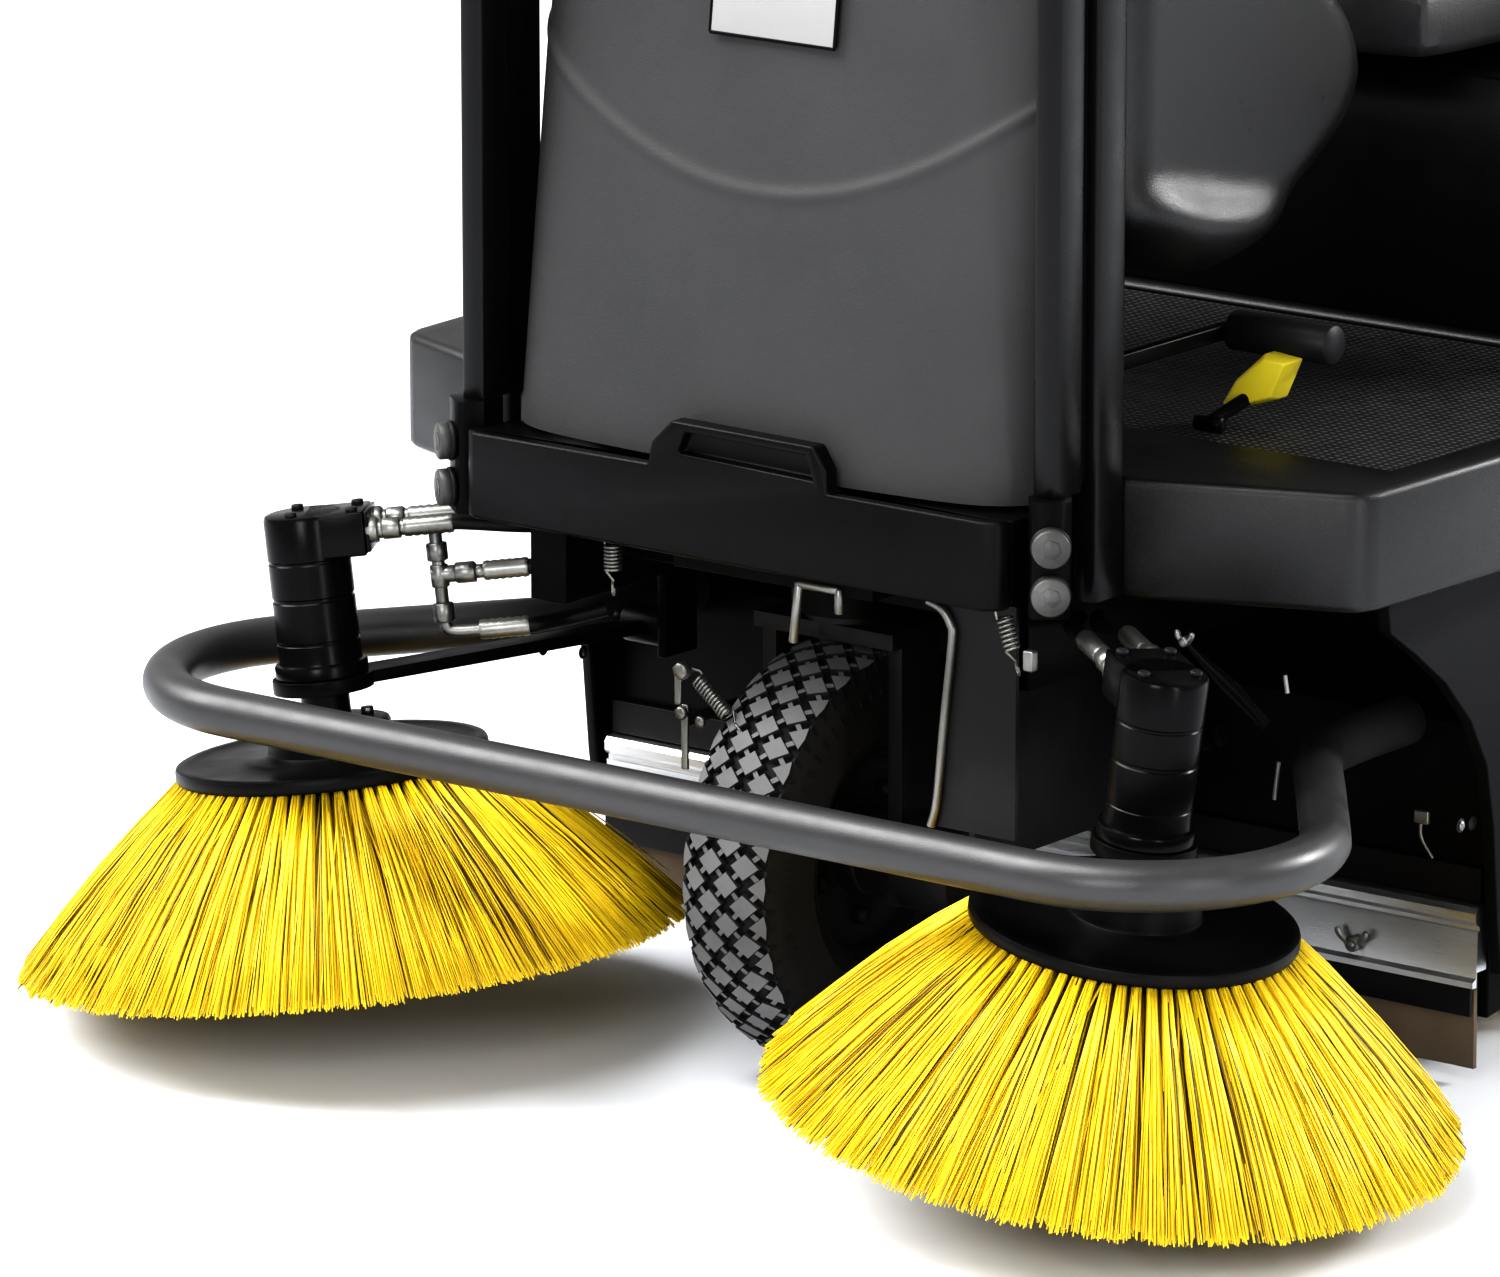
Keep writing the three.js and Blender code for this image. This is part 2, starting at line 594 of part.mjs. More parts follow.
// Bristles in chevron rows stand out from a closed brush sleeve.
function rollerBristles() {
  const { half, core, radius } = ROLLER;
  const bore = core + GAP;
  const end = half - 6;
  const profile = closed([[bore, -end], [radius, -end], [radius, end], [bore, end]]);
  return turned(profile, 32).rotateY(Math.PI / 2).translate(0, ROLLER.y, ROLLER.z);
}

// ---- Body ---------------------------------------------------------------------------------
function sidePanel(side) {
  const arch = 244;
  const points = [
    [300, 524], [305, 492], [350, 462], [400, 425], [445, 378], [474, 328], [488, 262], [498, 157],
    [506, 112], [REAR_AXLE_Y - arch, 112],
  ];
  for (let step = 1; step < 12; step += 1) {
    const turn = Math.PI - (Math.PI * step) / 12;
    points.push([REAR_AXLE_Y + arch * Math.cos(turn), 190 + arch * Math.sin(turn)]);
  }
  points.push([REAR_AXLE_Y + arch, 190], [1606, 190], [1606, PANEL.top], [956, PANEL.top], [956, 524]);
  const sheet = slabX(points, PANEL.x);
  const onPivot = (x) => vec(x, LIFT_PIVOT.y, LIFT_PIVOT.z);
  const boss = rod(onPivot(PANEL.x[0] + 2), onPivot(LIFT_ARM.x[0] - GAP), 34, 24);
  const pin = rod(onPivot(PANEL.x[1]), onPivot(LIFT_ARM.x[1] + 6), 15, 20);
  return onSide(join(sheet, boss, pin), side);
}

function seatConsole() {
  const { half, y, z } = CONSOLE;
  const side = [[y[0], z[0]], [954, z[0]], [970, 820], [970, z[1]], [y[0] + 34, z[1]], [y[0], z[1] - 60]];
  const box = slabX(side, [-half, half]);
  const deck = block([-541, 541], [962, y[1]], [820, z[1]]);
  const rearWall = block([-half, half], [y[1] - 12, y[1]], [RAIL_Z[1] + 20, 822]);
  return join(box, deck, rearWall);
}

function engine() {
  const crank = block([-190, 190], [1080, 1345], [RAIL_Z[1] + 6, 690]);
  const heads = [-110, 0, 110].map((x) => block([x - 42, x + 42], [1110, 1300], [689, 790]));
  const sump = block([-150, 150], [1110, 1290], [430, RAIL_Z[1] + 8]);
  const mounts = block([-RAIL_X[1], RAIL_X[1]], [1190, 1230], [RAIL_Z[1] + GAP, RAIL_Z[1] + 18]);
  const pulley = rod(vec(189, 1200, 600), vec(225, 1200, 600), 70, 24);
  return join(crank, sump, mounts, pulley, ...heads);
}

function hydraulicTank() {
  const tank = slabZ(roundedRect(200, 180, 24), [RAIL_Z[1] + GAP, 860]).translate(-330, 1492, 0);
  const cap = rod(vec(-330, 1492, 858), vec(-330, 1492, 884), 32, 20);
  return join(tank, cap);
}

function fuelTank() {
  const tank = slabZ(roundedRect(200, 180, 24), [RAIL_Z[1] + GAP, 840]).translate(330, 1492, 0);
  const neck = rod(vec(330, 1492, 838), vec(330, 1492, 880), 26, 20);
  return join(tank, neck);
}

function engineHood() {
  const { half, y, z } = HOOD;
  const outer = [
    [y[0], z[0]], [y[0], z[1] - 20], [y[0] + 20, z[1]], [y[1] - 20, z[1]], [y[1], z[1] - 20], [y[1], z[0]],
  ];
  const shell = slabX(outer, [-half, half]);
  const hollow = block([-half + 7, half - 7], [y[0] + 7, y[1] - 7], [z[0] - 5, z[1] - 8]);
  return cut(shell, hollow);
}

// ---- Seat ---------------------------------------------------------------------------------
function seatCushion() {
  const { half, y, z } = SEAT;
  const plan = roundedRect(2 * half, y[1] - y[0], 50);
  return slabZ(plan, [z[0], z[1]]).translate(0, (y[0] + y[1]) / 2, 0);
}

function seatBack() {
  const { half, z, y, thick } = BACK;
  const pad = slabZ(roundedRect(2 * half, z[1] - z[0], 60), [0, thick]);
  return pad.rotateX(THREE.MathUtils.degToRad(90 - 6)).translate(0, y + thick + 20, (z[0] + z[1]) / 2);
}

// ---- Hopper and its lift ------------------------------------------------------------------
const LIFT_END = {
  y: LIFT_PIVOT.y + LIFT_ARM.length * Math.cos(LIFT_ARM.droop),
  z: LIFT_PIVOT.z - LIFT_ARM.length * Math.sin(LIFT_ARM.droop),
};

function liftArm(side) {
  const start = new THREE.Vector2(LIFT_PIVOT.y, LIFT_PIVOT.z);
  const end = new THREE.Vector2(LIFT_END.y, LIFT_END.z);
  const along = end.clone().sub(start).normalize();
  const across = along.rotateAround(new THREE.Vector2(), Math.PI / 2).multiplyScalar(32);
  const bar = slabX([
    [start.x - across.x, start.y - across.y], [end.x - across.x * 0.8, end.y - across.y * 0.8],
    [end.x + across.x * 0.8, end.y + across.y * 0.8], [start.x + across.x, start.y + across.y],
  ], LIFT_ARM.x);
  const through = ({ y, z }, radius, extra) => (
    rod(vec(LIFT_ARM.x[0] - extra, y, z), vec(LIFT_ARM.x[1] + extra, y, z), radius, 24)
  );
  const ends = [LIFT_PIVOT, LIFT_END];
  const eyes = ends.map((pivot) => through(pivot, 36, 0));
  const bores = ends.map((pivot) => through(pivot, 15.8, 5));
  return onSide(cut(join(bar, ...eyes), ...bores), side);
}

// The yoke stays level on the arms and carries the hopper's tilt hinge at its lower rear edge.
function hopperYoke() {
  const { y, z } = LIFT_END;
  const hinge = TILT_HINGE;
  const plan = [
    [y - 40, z + 36], [y + 40, z + 36], [hinge.y + 26, hinge.z + 26], [hinge.y + 26, hinge.z - 26],
    [y - 40, hinge.z - 26],
  ];
  const plates = SIDES.map(([, side]) => slabX(plan, spanOn(side, 530, 542)));
  const pins = SIDES.map(([, side]) => rod(vec(541 * side, y, z), vec(598 * side, y, z), 15, 20));
  const bars = [y, hinge.y].map((at) => rod(vec(-535, at, hinge.z), vec(535, at, hinge.z), 22, 16));
  return join(...bars, ...plates, ...pins);
}

function hopper() {
  const { half, y, z, wall } = HOPPER;
  const side = [
    [y[0], z[0] + 30], [y[0] + 30, z[0]], [y[1] - 60, z[0]], [y[1], z[0] + 60], [y[1], z[1] - 70],
    [y[1] - 70, z[1]], [y[0] + 40, z[1]], [y[0], z[1] - 40],
  ];
  const shell = slabX(side, [-half, half]);
  const innerHalf = half - wall;
  const inside = block([-innerHalf, innerHalf], [y[0] + wall, y[1] - wall - 20], [z[0] + 36, z[1] - 50]);
  const inlet = block([-half + 60, half - 60], [y[0] - 10, y[0] + 60], [z[0] + 50, z[0] + 300]);
  const outlet = block([-half + 60, half - 60], [y[1] - 60, y[1] + 10], [z[0] + 70, z[0] + 300]);
  return cut(shell, inside, inlet, outlet);
}

function hopperDoor() {
  const { half, y, z, wall } = HOPPER;
  return block([-half + 62, half - 62], [y[1] - 24, y[1] - 24 + wall + 4], [z[0] + 72, z[0] + 292]);
}

// ---- Assembly -----------------------------------------------------------------------------
part('steering_head', steeringHead(), 'frame');
part('rear_axle', rearAxle(), 'frame');
part('bumper_loop', bumperLoop(), 'frame');
part('front_belt', frontBelt(), 'moulding');
part('roof_panel', roofPanel(), 'moulding');
part('guard_hoop_rear', rearHoop(), 'frame');
part('footboard', footboard(), 'moulding');
part('floor_mat', floorMat(), 'mat');
part('front_cover', frontCover(), 'cover');
part('cover_plate', coverPlate(), 'aluminium');
part('column_cover', columnCover(), 'moulding');
part('dashboard', dashboard(), 'moulding');
part('steering_wheel', steeringWheel(), 'vinyl');
part('brake_pedal', brakePedal(), 'yellow');
part('drive_pedal', drivePedal(), 'mat');
part('hopper_lever', hopperLever(), 'yellow');
part('cheek_plate', cheekPlate(), 'frame');
part('steering_fork', steeringFork(), 'iron');
part('front_tyre', atFrontWheel(tyre()), 'tyre');
part('front_rim', atFrontWheel(rim()), 'iron');
part('roller_housing', rollerHousing(), 'frame');
part('flap_bar', flapBar(), 'aluminium');
part('front_flap', frontFlap(), 'rubber');
part('roller_frame', rollerFrame(), 'frame');
part('roller_core', rollerCore(), 'iron');
part('roller_bristles', rollerBristles(), 'bristle');
part('seat_console', seatConsole(), 'moulding');
part('engine', engine(), 'iron');
part('hydraulic_tank', hydraulicTank(), 'frame');
part('fuel_tank', fuelTank(), 'moulding');
part('engine_hood', engineHood(), 'cover');
part('seat_cushion', seatCushion(), 'vinyl');
part('seat_back', seatBack(), 'vinyl');
part('hopper_yoke', hopperYoke(), 'frame');
part('hopper', hopper(), 'moulding');
part('hopper_door', hopperDoor(), 'frame');

for (const [name, side] of SIDES) {
  part(`rail_${name}`, rail(side), 'frame');
  part(`guard_post_${name}`, frontPost(side), 'frame');
  part(`post_foot_${name}`, postFoot(side), 'frame');
  part(`side_panel_${name}`, sidePanel(side), 'moulding');
  part(`lift_arm_${name}`, liftArm(side), 'frame');
  part(`rear_tyre_${name}`, atRearWheel(tyre(), side), 'tyre');
  part(`rear_rim_${name}`, atRearWheel(rim(), side), 'iron');
  part(`brush_arm_${name}`, onSide(brushArm(), side), 'frame');
  part(`brush_motor_${name}`, onSide(brushMotor(), side), 'motor');
  part(`brush_fittings_${name}`, onSide(brushFittings(side < 0), side), 'zinc');
  part(`brush_disc_${name}`, onSide(brushDisc(), side), 'moulding');
  part(`brush_bristles_${name}`, onSide(brushBristles(), side), 'bristle');
}

export default machine;
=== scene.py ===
"""Looks of the ride-on sweeper: finishes, bristles, tread, hoses, seat and other fine shapes."""
import json
import math
import random
from functools import cache

import bmesh
import bpy
import numpy as np
from mathutils import Matrix, Vector

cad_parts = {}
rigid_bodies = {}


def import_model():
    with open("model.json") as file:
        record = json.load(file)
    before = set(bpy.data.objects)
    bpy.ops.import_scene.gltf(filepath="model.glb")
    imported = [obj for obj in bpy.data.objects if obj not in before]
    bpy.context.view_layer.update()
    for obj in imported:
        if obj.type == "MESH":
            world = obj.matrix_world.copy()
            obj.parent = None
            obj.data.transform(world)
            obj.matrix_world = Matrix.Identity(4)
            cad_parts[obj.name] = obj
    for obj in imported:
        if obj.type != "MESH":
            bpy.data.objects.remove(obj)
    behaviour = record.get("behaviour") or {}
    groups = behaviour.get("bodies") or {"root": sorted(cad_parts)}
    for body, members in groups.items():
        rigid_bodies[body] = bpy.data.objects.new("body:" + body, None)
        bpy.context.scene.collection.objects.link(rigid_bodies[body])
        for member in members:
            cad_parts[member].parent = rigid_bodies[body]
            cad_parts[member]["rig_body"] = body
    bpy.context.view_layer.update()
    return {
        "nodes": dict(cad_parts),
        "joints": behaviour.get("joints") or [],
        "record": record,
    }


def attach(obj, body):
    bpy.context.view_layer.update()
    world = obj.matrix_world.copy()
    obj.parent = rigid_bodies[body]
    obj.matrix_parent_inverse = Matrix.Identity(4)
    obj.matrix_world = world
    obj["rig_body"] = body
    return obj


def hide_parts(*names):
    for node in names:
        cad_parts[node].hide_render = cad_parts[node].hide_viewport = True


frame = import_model()

# ---- Places and sizes, in millimetres of the machine ---------------------------------------
MM = 0.001
JOINTS = {joint["name"]: joint for joint in frame["joints"]}
AXLE_LINE = JOINTS["brush_spin_left"]["pos_m"][1]  # row-frame y of the side-brush axes
SIDES = (("left", 1), ("right", -1))
BRUSH = {"x": 484, "z": 266, "drop": 187}
BRUSH_TILT = math.radians(7.6)
PORT_TURN = math.radians(-33)
PORT_FACE = -62
TYRE = {"radius": 212, "half": 54, "rim": 107.4}
WHEELS = (
    ("front_tyre", "front_rim", 0, 205, "front_wheel"),
    ("rear_tyre_left", "rear_rim_left", 478, 1340, "rear_wheel_left"),
    ("rear_tyre_right", "rear_rim_right", -478, 1340, "rear_wheel_right"),
)
POST_FOOT = {"x": 343, "y": 57, "z": 528, "turn": math.radians(38)}
COVER = {"half": 312, "bottom": 622, "top": 1176, "y": 26, "lean": 0.12, "wall": 6}
ROLLER = {"y": 745, "z": 152, "radius": 150, "core": 62, "half": 494}


def at(x, y, z):
    """A place in the machine's own millimetres, as a point of the row frame in metres."""
    return Vector((x * MM, AXLE_LINE + y * MM, z * MM))


def mm(x, y, z):
    """A vector given in millimetres."""
    return Vector((x, y, z)) * MM


def polar(radius, turn, z):
    """A place round the Z axis, given in millimetres and radians."""
    return mm(radius * math.cos(turn), radius * math.sin(turn), z)


# ---- Camera, light and floor ----------------------------------------------------------------
CAMERA = {"azimuth": 37.6, "elevation": 14.2, "target": (34.8, 0, 467.7)}  # degrees, millimetres
CAMERA_DISTANCE = 9.392
LENS, SENSOR = 237.8, 36
WORLD_LIGHT = 0.50
SUN = {"direction": (-0.85, -0.35, 0.78), "energy": 3.3, "spread": 36}
SOFT_BOXES = (  # name, place, aim, size, power
    ("box_top", (-0.5, -1.9, 3.3), (0, -0.9, 0.3), (2.6, 1.2), 85),
    ("box_front", (1.6, -5.4, 2.2), (0.1, -0.8, 0.6), (1.6, 1.4), 90),
    ("box_right", (4.6, -2.6, 1.6), (0.3, -0.7, 0.6), (0.5, 3.0), 60),
    ("box_rear", (3.4, 3.8, 2.7), (0.3, -0.4, 0.8), (1.5, 1.2), 260),
)


def make_camera():
    azimuth, elevation = (math.radians(CAMERA[angle]) for angle in ("azimuth", "elevation"))
    back = Vector((
        math.sin(azimuth) * math.cos(elevation),
        -math.cos(azimuth) * math.cos(elevation),
        math.sin(elevation),
    ))
    data = bpy.data.cameras.new("camera")
    data.lens = LENS
    data.sensor_width = SENSOR
    camera = bpy.data.objects.new("camera", data)
    camera.location = at(*CAMERA["target"]) + back * CAMERA_DISTANCE
    camera.rotation_euler = back.to_track_quat("Z", "Y").to_euler()
    bpy.context.scene.collection.objects.link(camera)
    bpy.context.scene.camera = camera


def area_light(name, place, aim, size, power):
    data = bpy.data.lights.new(name, "AREA")
    data.shape = "RECTANGLE"
    data.size, data.size_y = size
    data.energy = power
    light = bpy.data.objects.new(name, data)
    light.location = place
    light.rotation_euler = (Vector(place) - Vector(aim)).to_track_quat("Z", "Y").to_euler()
    bpy.context.scene.collection.objects.link(light)


def sun(direction, energy, spread):
    data = bpy.data.lights.new("sun", "SUN")
    data.energy = energy
    data.angle = math.radians(spread)
    light = bpy.data.objects.new("sun", data)
    light.rotation_euler = Vector(direction).to_track_quat("Z", "Y").to_euler()
    bpy.context.scene.collection.objects.link(light)


def make_studio():
    """A white room: a soft sun and soft boxes that draw light bands on black parts."""
    world = bpy.data.worlds.new("studio")
    bpy.context.scene.world = world
    world.use_nodes = True
    background = world.node_tree.nodes["Background"]
    background.inputs["Color"].default_value = (1, 1, 1, 1)
    background.inputs["Strength"].default_value = WORLD_LIGHT
    sun(**SUN)
    for soft_box in SOFT_BOXES:
        area_light(*soft_box)
    bpy.context.scene.view_settings.view_transform = "Standard"
    bpy.context.scene.view_settings.look = "High Contrast"
    bpy.ops.mesh.primitive_grid_add(x_subdivisions=2, y_subdivisions=2, size=80, location=(0, 0, 0))
    floor = bpy.context.object
    floor.name = "floor"
    floor.data.materials.append(studio_floor())


# ---- Finishes -------------------------------------------------------------------------------
class Nodes:
    """A short way to add and link shader nodes."""

    def __init__(self, name):
        self.material = bpy.data.materials.new(name)
        self.material.use_nodes = True
        self.tree = self.material.node_tree
        self.shader = self.tree.nodes["Principled BSDF"]
        coordinates = self.add("ShaderNodeTexCoord")
        self.place = coordinates.outputs["Object"]

    def add(self, kind, **values):
        node = self.tree.nodes.new(kind)
        for key, value in values.items():
            setattr(node, key, value)
        return node

    def link(self, output, socket):
        self.tree.links.new(output, socket)

    def noise(self, scale, detail=4.0, roughness=0.55, stretch=None):
        node = self.add("ShaderNodeTexNoise")
        node.inputs["Scale"].default_value = scale
        node.inputs["Detail"].default_value = detail
        node.inputs["Roughness"].default_value = roughness
        place = self.place
        if stretch:
            mapping = self.add("ShaderNodeMapping")
            mapping.inputs["Scale"].default_value = stretch
            self.link(self.place, mapping.inputs["Vector"])
            place = mapping.outputs["Vector"]
        self.link(place, node.inputs["Vector"])
        return node.outputs["Fac"]

    def cells(self, scale, feature="F1"):
        node = self.add("ShaderNodeTexVoronoi", feature=feature)
        node.inputs["Scale"].default_value = scale
        self.link(self.place, node.inputs["Vector"])
        return node.outputs["Distance"]

    def ramp(self, value, low, high, to_low, to_high):
        node = self.add("ShaderNodeMapRange")
        self.link(value, node.inputs["Value"])
        limits = {"From Min": low, "From Max": high, "To Min": to_low, "To Max": to_high}
        for key, number in limits.items():
            node.inputs[key].default_value = number
        return node.outputs["Result"]

    def blend(self, factor, first, second):
        node = self.add("ShaderNodeMix", data_type="RGBA")
        self.link(factor, node.inputs["Factor"])
        for colour, socket in ((first, node.inputs["A"]), (second, node.inputs["B"])):
            if isinstance(colour, tuple):
                socket.default_value = (*colour, 1)
            else:
                self.link(colour, socket)
        return node.outputs["Result"]

    def bump(self, height, strength, distance, under=None):
        node = self.add("ShaderNodeBump")
        node.inputs["Strength"].default_value = strength
        node.inputs["Distance"].default_value = distance
        self.link(height, node.inputs["Height"])
        if under:
            self.link(under, node.inputs["Normal"])
        return node.outputs["Normal"]


def shade(colour, factor):
    return tuple(min(1.0, channel * factor) for channel in colour)


@cache
def finish(name, colour, rough=0.5, metal=0.0, bump=(900, 0.15), mottle=0.12, gloss=0.5, dust=0.0):
    """A finish with mottled colour, uneven gloss, a fine surface grain and, low down, some dust."""
    nodes = Nodes(name)
    broad = nodes.noise(6.0, detail=6)
    surface = nodes.blend(
        nodes.ramp(broad, 0.3, 0.7, 0, 1), shade(colour, 1 - mottle), shade(colour, 1 + mottle)
    )
    if dust:
        separate = nodes.add("ShaderNodeSeparateXYZ")
        nodes.link(nodes.place, separate.inputs["Vector"])
        low = nodes.ramp(separate.outputs["Z"], 0.0, 0.6, dust, 0.0)
        patches = nodes.add("ShaderNodeMath", operation="MULTIPLY")
        nodes.link(low, patches.inputs[0])
        nodes.link(nodes.ramp(nodes.noise(35, detail=5), 0.35, 0.75, 0.2, 1), patches.inputs[1])
        surface = nodes.blend(patches.outputs[0], surface, (0.22, 0.20, 0.18))
    nodes.link(surface, nodes.shader.inputs["Base Color"])
    nodes.link(nodes.ramp(nodes.noise(22), 0.3, 0.7, rough * 0.85, min(1.0, rough * 1.15)),
               nodes.shader.inputs["Roughness"])
    nodes.shader.inputs["Metallic"].default_value = metal
    nodes.shader.inputs["Specular IOR Level"].default_value = gloss
    scale, strength = bump
    grain = nodes.noise(scale, detail=2)
    nodes.link(nodes.bump(grain, strength, 0.0006), nodes.shader.inputs["Normal"])
    return nodes.material


def studio_floor():
    return finish("studio_floor", (0.84, 0.86, 0.90), rough=0.8, bump=(60, 0.02), mottle=0.01)


def powder_coat():
    return finish("anthracite_powder", (0.028, 0.028, 0.029), 0.38, bump=(650, 0.35), dust=0.03)


def black_frame():
    return finish("black_frame", (0.003, 0.003, 0.0032), 0.34, bump=(520, 0.2), gloss=0.07, dust=0.01)


def post_paint():
    return finish("post_paint", (0.004, 0.004, 0.0042), 0.3, bump=(520, 0.2), gloss=0.2, dust=0.01)


def black_moulding():
    black = (0.003, 0.003, 0.0032)
    return finish("black_moulding", black, 0.33, bump=(1100, 0.4), gloss=0.12, dust=0.01)


def satin_moulding():
    return finish("satin_moulding", (0.007, 0.007, 0.0073), 0.32, bump=(1000, 0.55), gloss=0.38)


def cover_moulding():
    return finish("grey_cover", (0.038, 0.038, 0.0385), 0.5, bump=(1300, 0.6), mottle=0.07, gloss=0.2)


def motor_paint():
    return finish("motor_paint", (0.003, 0.003, 0.0033), 0.24, bump=(420, 0.15), gloss=0.11, dust=0.01)


def machine_paint():
    return finish("machine_paint", (0.010, 0.010, 0.011), 0.45, bump=(500, 0.2), gloss=0.2, dust=0.05)


def yellow_plastic():
    return finish("yellow_plastic", (0.60, 0.50, 0.03), 0.45, bump=(700, 0.12), mottle=0.05)


def zinc():
    return finish("zinc_plate", (0.21, 0.21, 0.20), 0.38, metal=0.95, bump=(260, 0.4), mottle=0.4)


def worn_zinc():
    return finish("worn_zinc", (0.062, 0.062, 0.06), 0.5, metal=0.3, bump=(180, 0.9), mottle=0.6)


def pale_plate():
    return finish("pale_plate", (0.24, 0.24, 0.235), 0.6, bump=(900, 0.1), mottle=0.05, gloss=0.25)


def tyre_rubber():
    return finish("tyre_rubber", (0.138, 0.138, 0.139), 0.8, bump=(800, 0.5), mottle=0.25, gloss=0.3)


def tyre_wall():
    return finish("tyre_wall", (0.014, 0.014, 0.0142), 0.7, bump=(800, 0.3), gloss=0.2, dust=0.04)


def hose_rubber():
    return finish("hose_rubber", (0.0035, 0.0035, 0.004), 0.42, bump=(1500, 0.25), gloss=0.2)


def flap_rubber():
    brown = (0.120, 0.090, 0.060)
    return finish("flap_rubber", brown, 0.85, bump=(420, 0.5), mottle=0.3, gloss=0.2, dust=0.1)


# A dark cone inside the bristle skirt: painted shade that shows through the gaps between tufts.
def painted_shade_core():
    return finish("bristle_shade_core", (0.10, 0.065, 0.002), 0.95, bump=(500, 0.4), mottle=0.3, gloss=0.1)


@cache
def brushed_aluminium():
    nodes = Nodes("brushed_aluminium")
    drawn = nodes.noise(40, detail=5, stretch=(1, 60, 60))
    colour = nodes.blend(drawn, (0.50, 0.51, 0.52), (0.78, 0.79, 0.80))
    nodes.link(colour, nodes.shader.inputs["Base Color"])
    nodes.link(nodes.ramp(drawn, 0.3, 0.7, 0.25, 0.5), nodes.shader.inputs["Roughness"])
    nodes.shader.inputs["Metallic"].default_value = 1.0
    nodes.link(nodes.bump(drawn, 0.15, 0.0004), nodes.shader.inputs["Normal"])
    return nodes.material


@cache
def grained_vinyl():
    """Seat vinyl: leather-like cells over soft creases."""
    nodes = Nodes("grained_vinyl")
    broad = nodes.noise(9, detail=5)
    nodes.link(nodes.blend(broad, (0.012, 0.012, 0.013), (0.024, 0.024, 0.026)),
               nodes.shader.inputs["Base Color"])
    nodes.link(nodes.ramp(broad, 0.3, 0.7, 0.42, 0.58), nodes.shader.inputs["Roughness"])
    grain = nodes.bump(nodes.cells(420, "DISTANCE_TO_EDGE"), 0.35, 0.0008)
    creased = nodes.bump(nodes.noise(30, detail=3), 0.15, 0.004, under=grain)
    nodes.link(creased, nodes.shader.inputs["Normal"])
    return nodes.material


@cache
def mat_rubber():
    """Ribbed mat: a grid of small raised pips over dull rubber."""
    nodes = Nodes("mat_rubber")
    pips = nodes.add("ShaderNodeTexVoronoi", feature="F1")
    pips.inputs["Scale"].default_value = 105
    pips.inputs["Randomness"].default_value = 0
    nodes.link(nodes.place, pips.inputs["Vector"])
    raised = nodes.ramp(pips.outputs["Distance"], 0.25, 0.5, 1, 0)
    # The pips are painted much lighter than the rubber round them: a painted highlight on their tops.
    nodes.link(nodes.blend(raised, (0.002, 0.002, 0.0022), (0.10, 0.10, 0.105)),
               nodes.shader.inputs["Base Color"])
    nodes.link(nodes.ramp(nodes.noise(30), 0.3, 0.7, 0.45, 0.7), nodes.shader.inputs["Roughness"])
    nodes.link(nodes.bump(raised, 0.9, 0.0015), nodes.shader.inputs["Normal"])
    return nodes.material


@cache
def bristle_yellow():
    """Filament plastic whose shade changes from strand to strand, by the mesh's own tone layer. The tone
    also carries painted shade on the side brushes' inner rows, and its near-black strands are partly
    stains and partly painted shadow between strands.
    """
    nodes = Nodes("bristle_yellow")
    tone = nodes.add("ShaderNodeAttribute", attribute_name="tone")
    shades = nodes.ramp(tone.outputs["Fac"], 0.12, 0.8, 0, 1)
    bright = nodes.blend(shades, (0.56, 0.36, 0.005), (0.90, 0.65, 0.016))
    # Tones below about 0.1 turn a strand near black: partly stains, partly painted shadow between
    # strands.
    plain_strand = nodes.ramp(tone.outputs["Fac"], 0.06, 0.10, 0, 1)
    stain_and_shadow = nodes.blend(plain_strand, (0.012, 0.009, 0.005), bright)
    nodes.link(stain_and_shadow, nodes.shader.inputs["Base Color"])
    nodes.link(nodes.ramp(nodes.noise(240), 0.3, 0.7, 0.42, 0.62), nodes.shader.inputs["Roughness"])
    lengthwise = nodes.noise(900, stretch=(1, 1, 0.2))
    nodes.link(nodes.bump(lengthwise, 0.2, 0.0004), nodes.shader.inputs["Normal"])
    return nodes.material


# ---- Mesh helpers ---------------------------------------------------------------------------
def grid_faces(rings, count, closed=True, first=0):
    """Four-sided faces between rings of points that lie one after the other."""
    faces = []
    for ring in range(rings - 1):
        for index in range(count if closed else count - 1):
            low = first + ring * count + index
            after = first + ring * count + (index + 1) % count
            faces.append((low, after, after + count, low + count))
    return faces


def cap_faces(rings, count):
    """The two faces that close the first and the last of the rings."""
    last = (rings - 1) * count
    return [tuple(reversed(range(count))), tuple(range(last, last + count))]


def prism(name, section, near, far, material, sharp):
    """A straight piece: a section of points, given at its near and at its far end."""
    count = len(section)
    vertices = [near(point) for point in section] + [far(point) for point in section]
    faces = [tuple(range(count)), tuple(reversed(range(count, 2 * count)))]
    faces += [(i, i + count, (i + 1) % count + count, (i + 1) % count) for i in range(count)]
    return tidy_mesh(mesh_object(name, vertices, faces, material), sharp)


def mesh_object(name, vertices, faces, material, smooth=True):
    mesh = bpy.data.meshes.new(name)
    mesh.from_pydata([tuple(v) for v in vertices], [], faces)
    mesh.materials.append(material)
    mesh.validate()
    if smooth:
        mesh.shade_smooth()
    obj = bpy.data.objects.new(name, mesh)
    bpy.context.scene.collection.objects.link(obj)
    return obj


def place(obj, body, slot, *nodes):
    """The piece rides on a body and stands for CAD nodes; its slot is not used."""
    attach(obj, body)
    if nodes:
        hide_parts(*nodes)
    return obj


def apply_modifiers(obj):
    depsgraph = bpy.context.evaluated_depsgraph_get()
    mesh = bpy.data.meshes.new_from_object(obj.evaluated_get(depsgraph))
    obj.modifiers.clear()
    obj.data = mesh
    return obj


def tidy_mesh(obj, sharp=40):
    """Merges doubled corners, turns every face outwards and shades smooth up to an angle."""
    work = bmesh.new()
    work.from_mesh(obj.data)
    bmesh.ops.remove_doubles(work, verts=work.verts, dist=1e-6)
    bmesh.ops.recalc_face_normals(work, faces=work.faces)
    work.to_mesh(obj.data)
    work.free()
    obj.data.shade_smooth()
    obj.data.set_sharp_from_angle(angle=math.radians(sharp))
    return obj


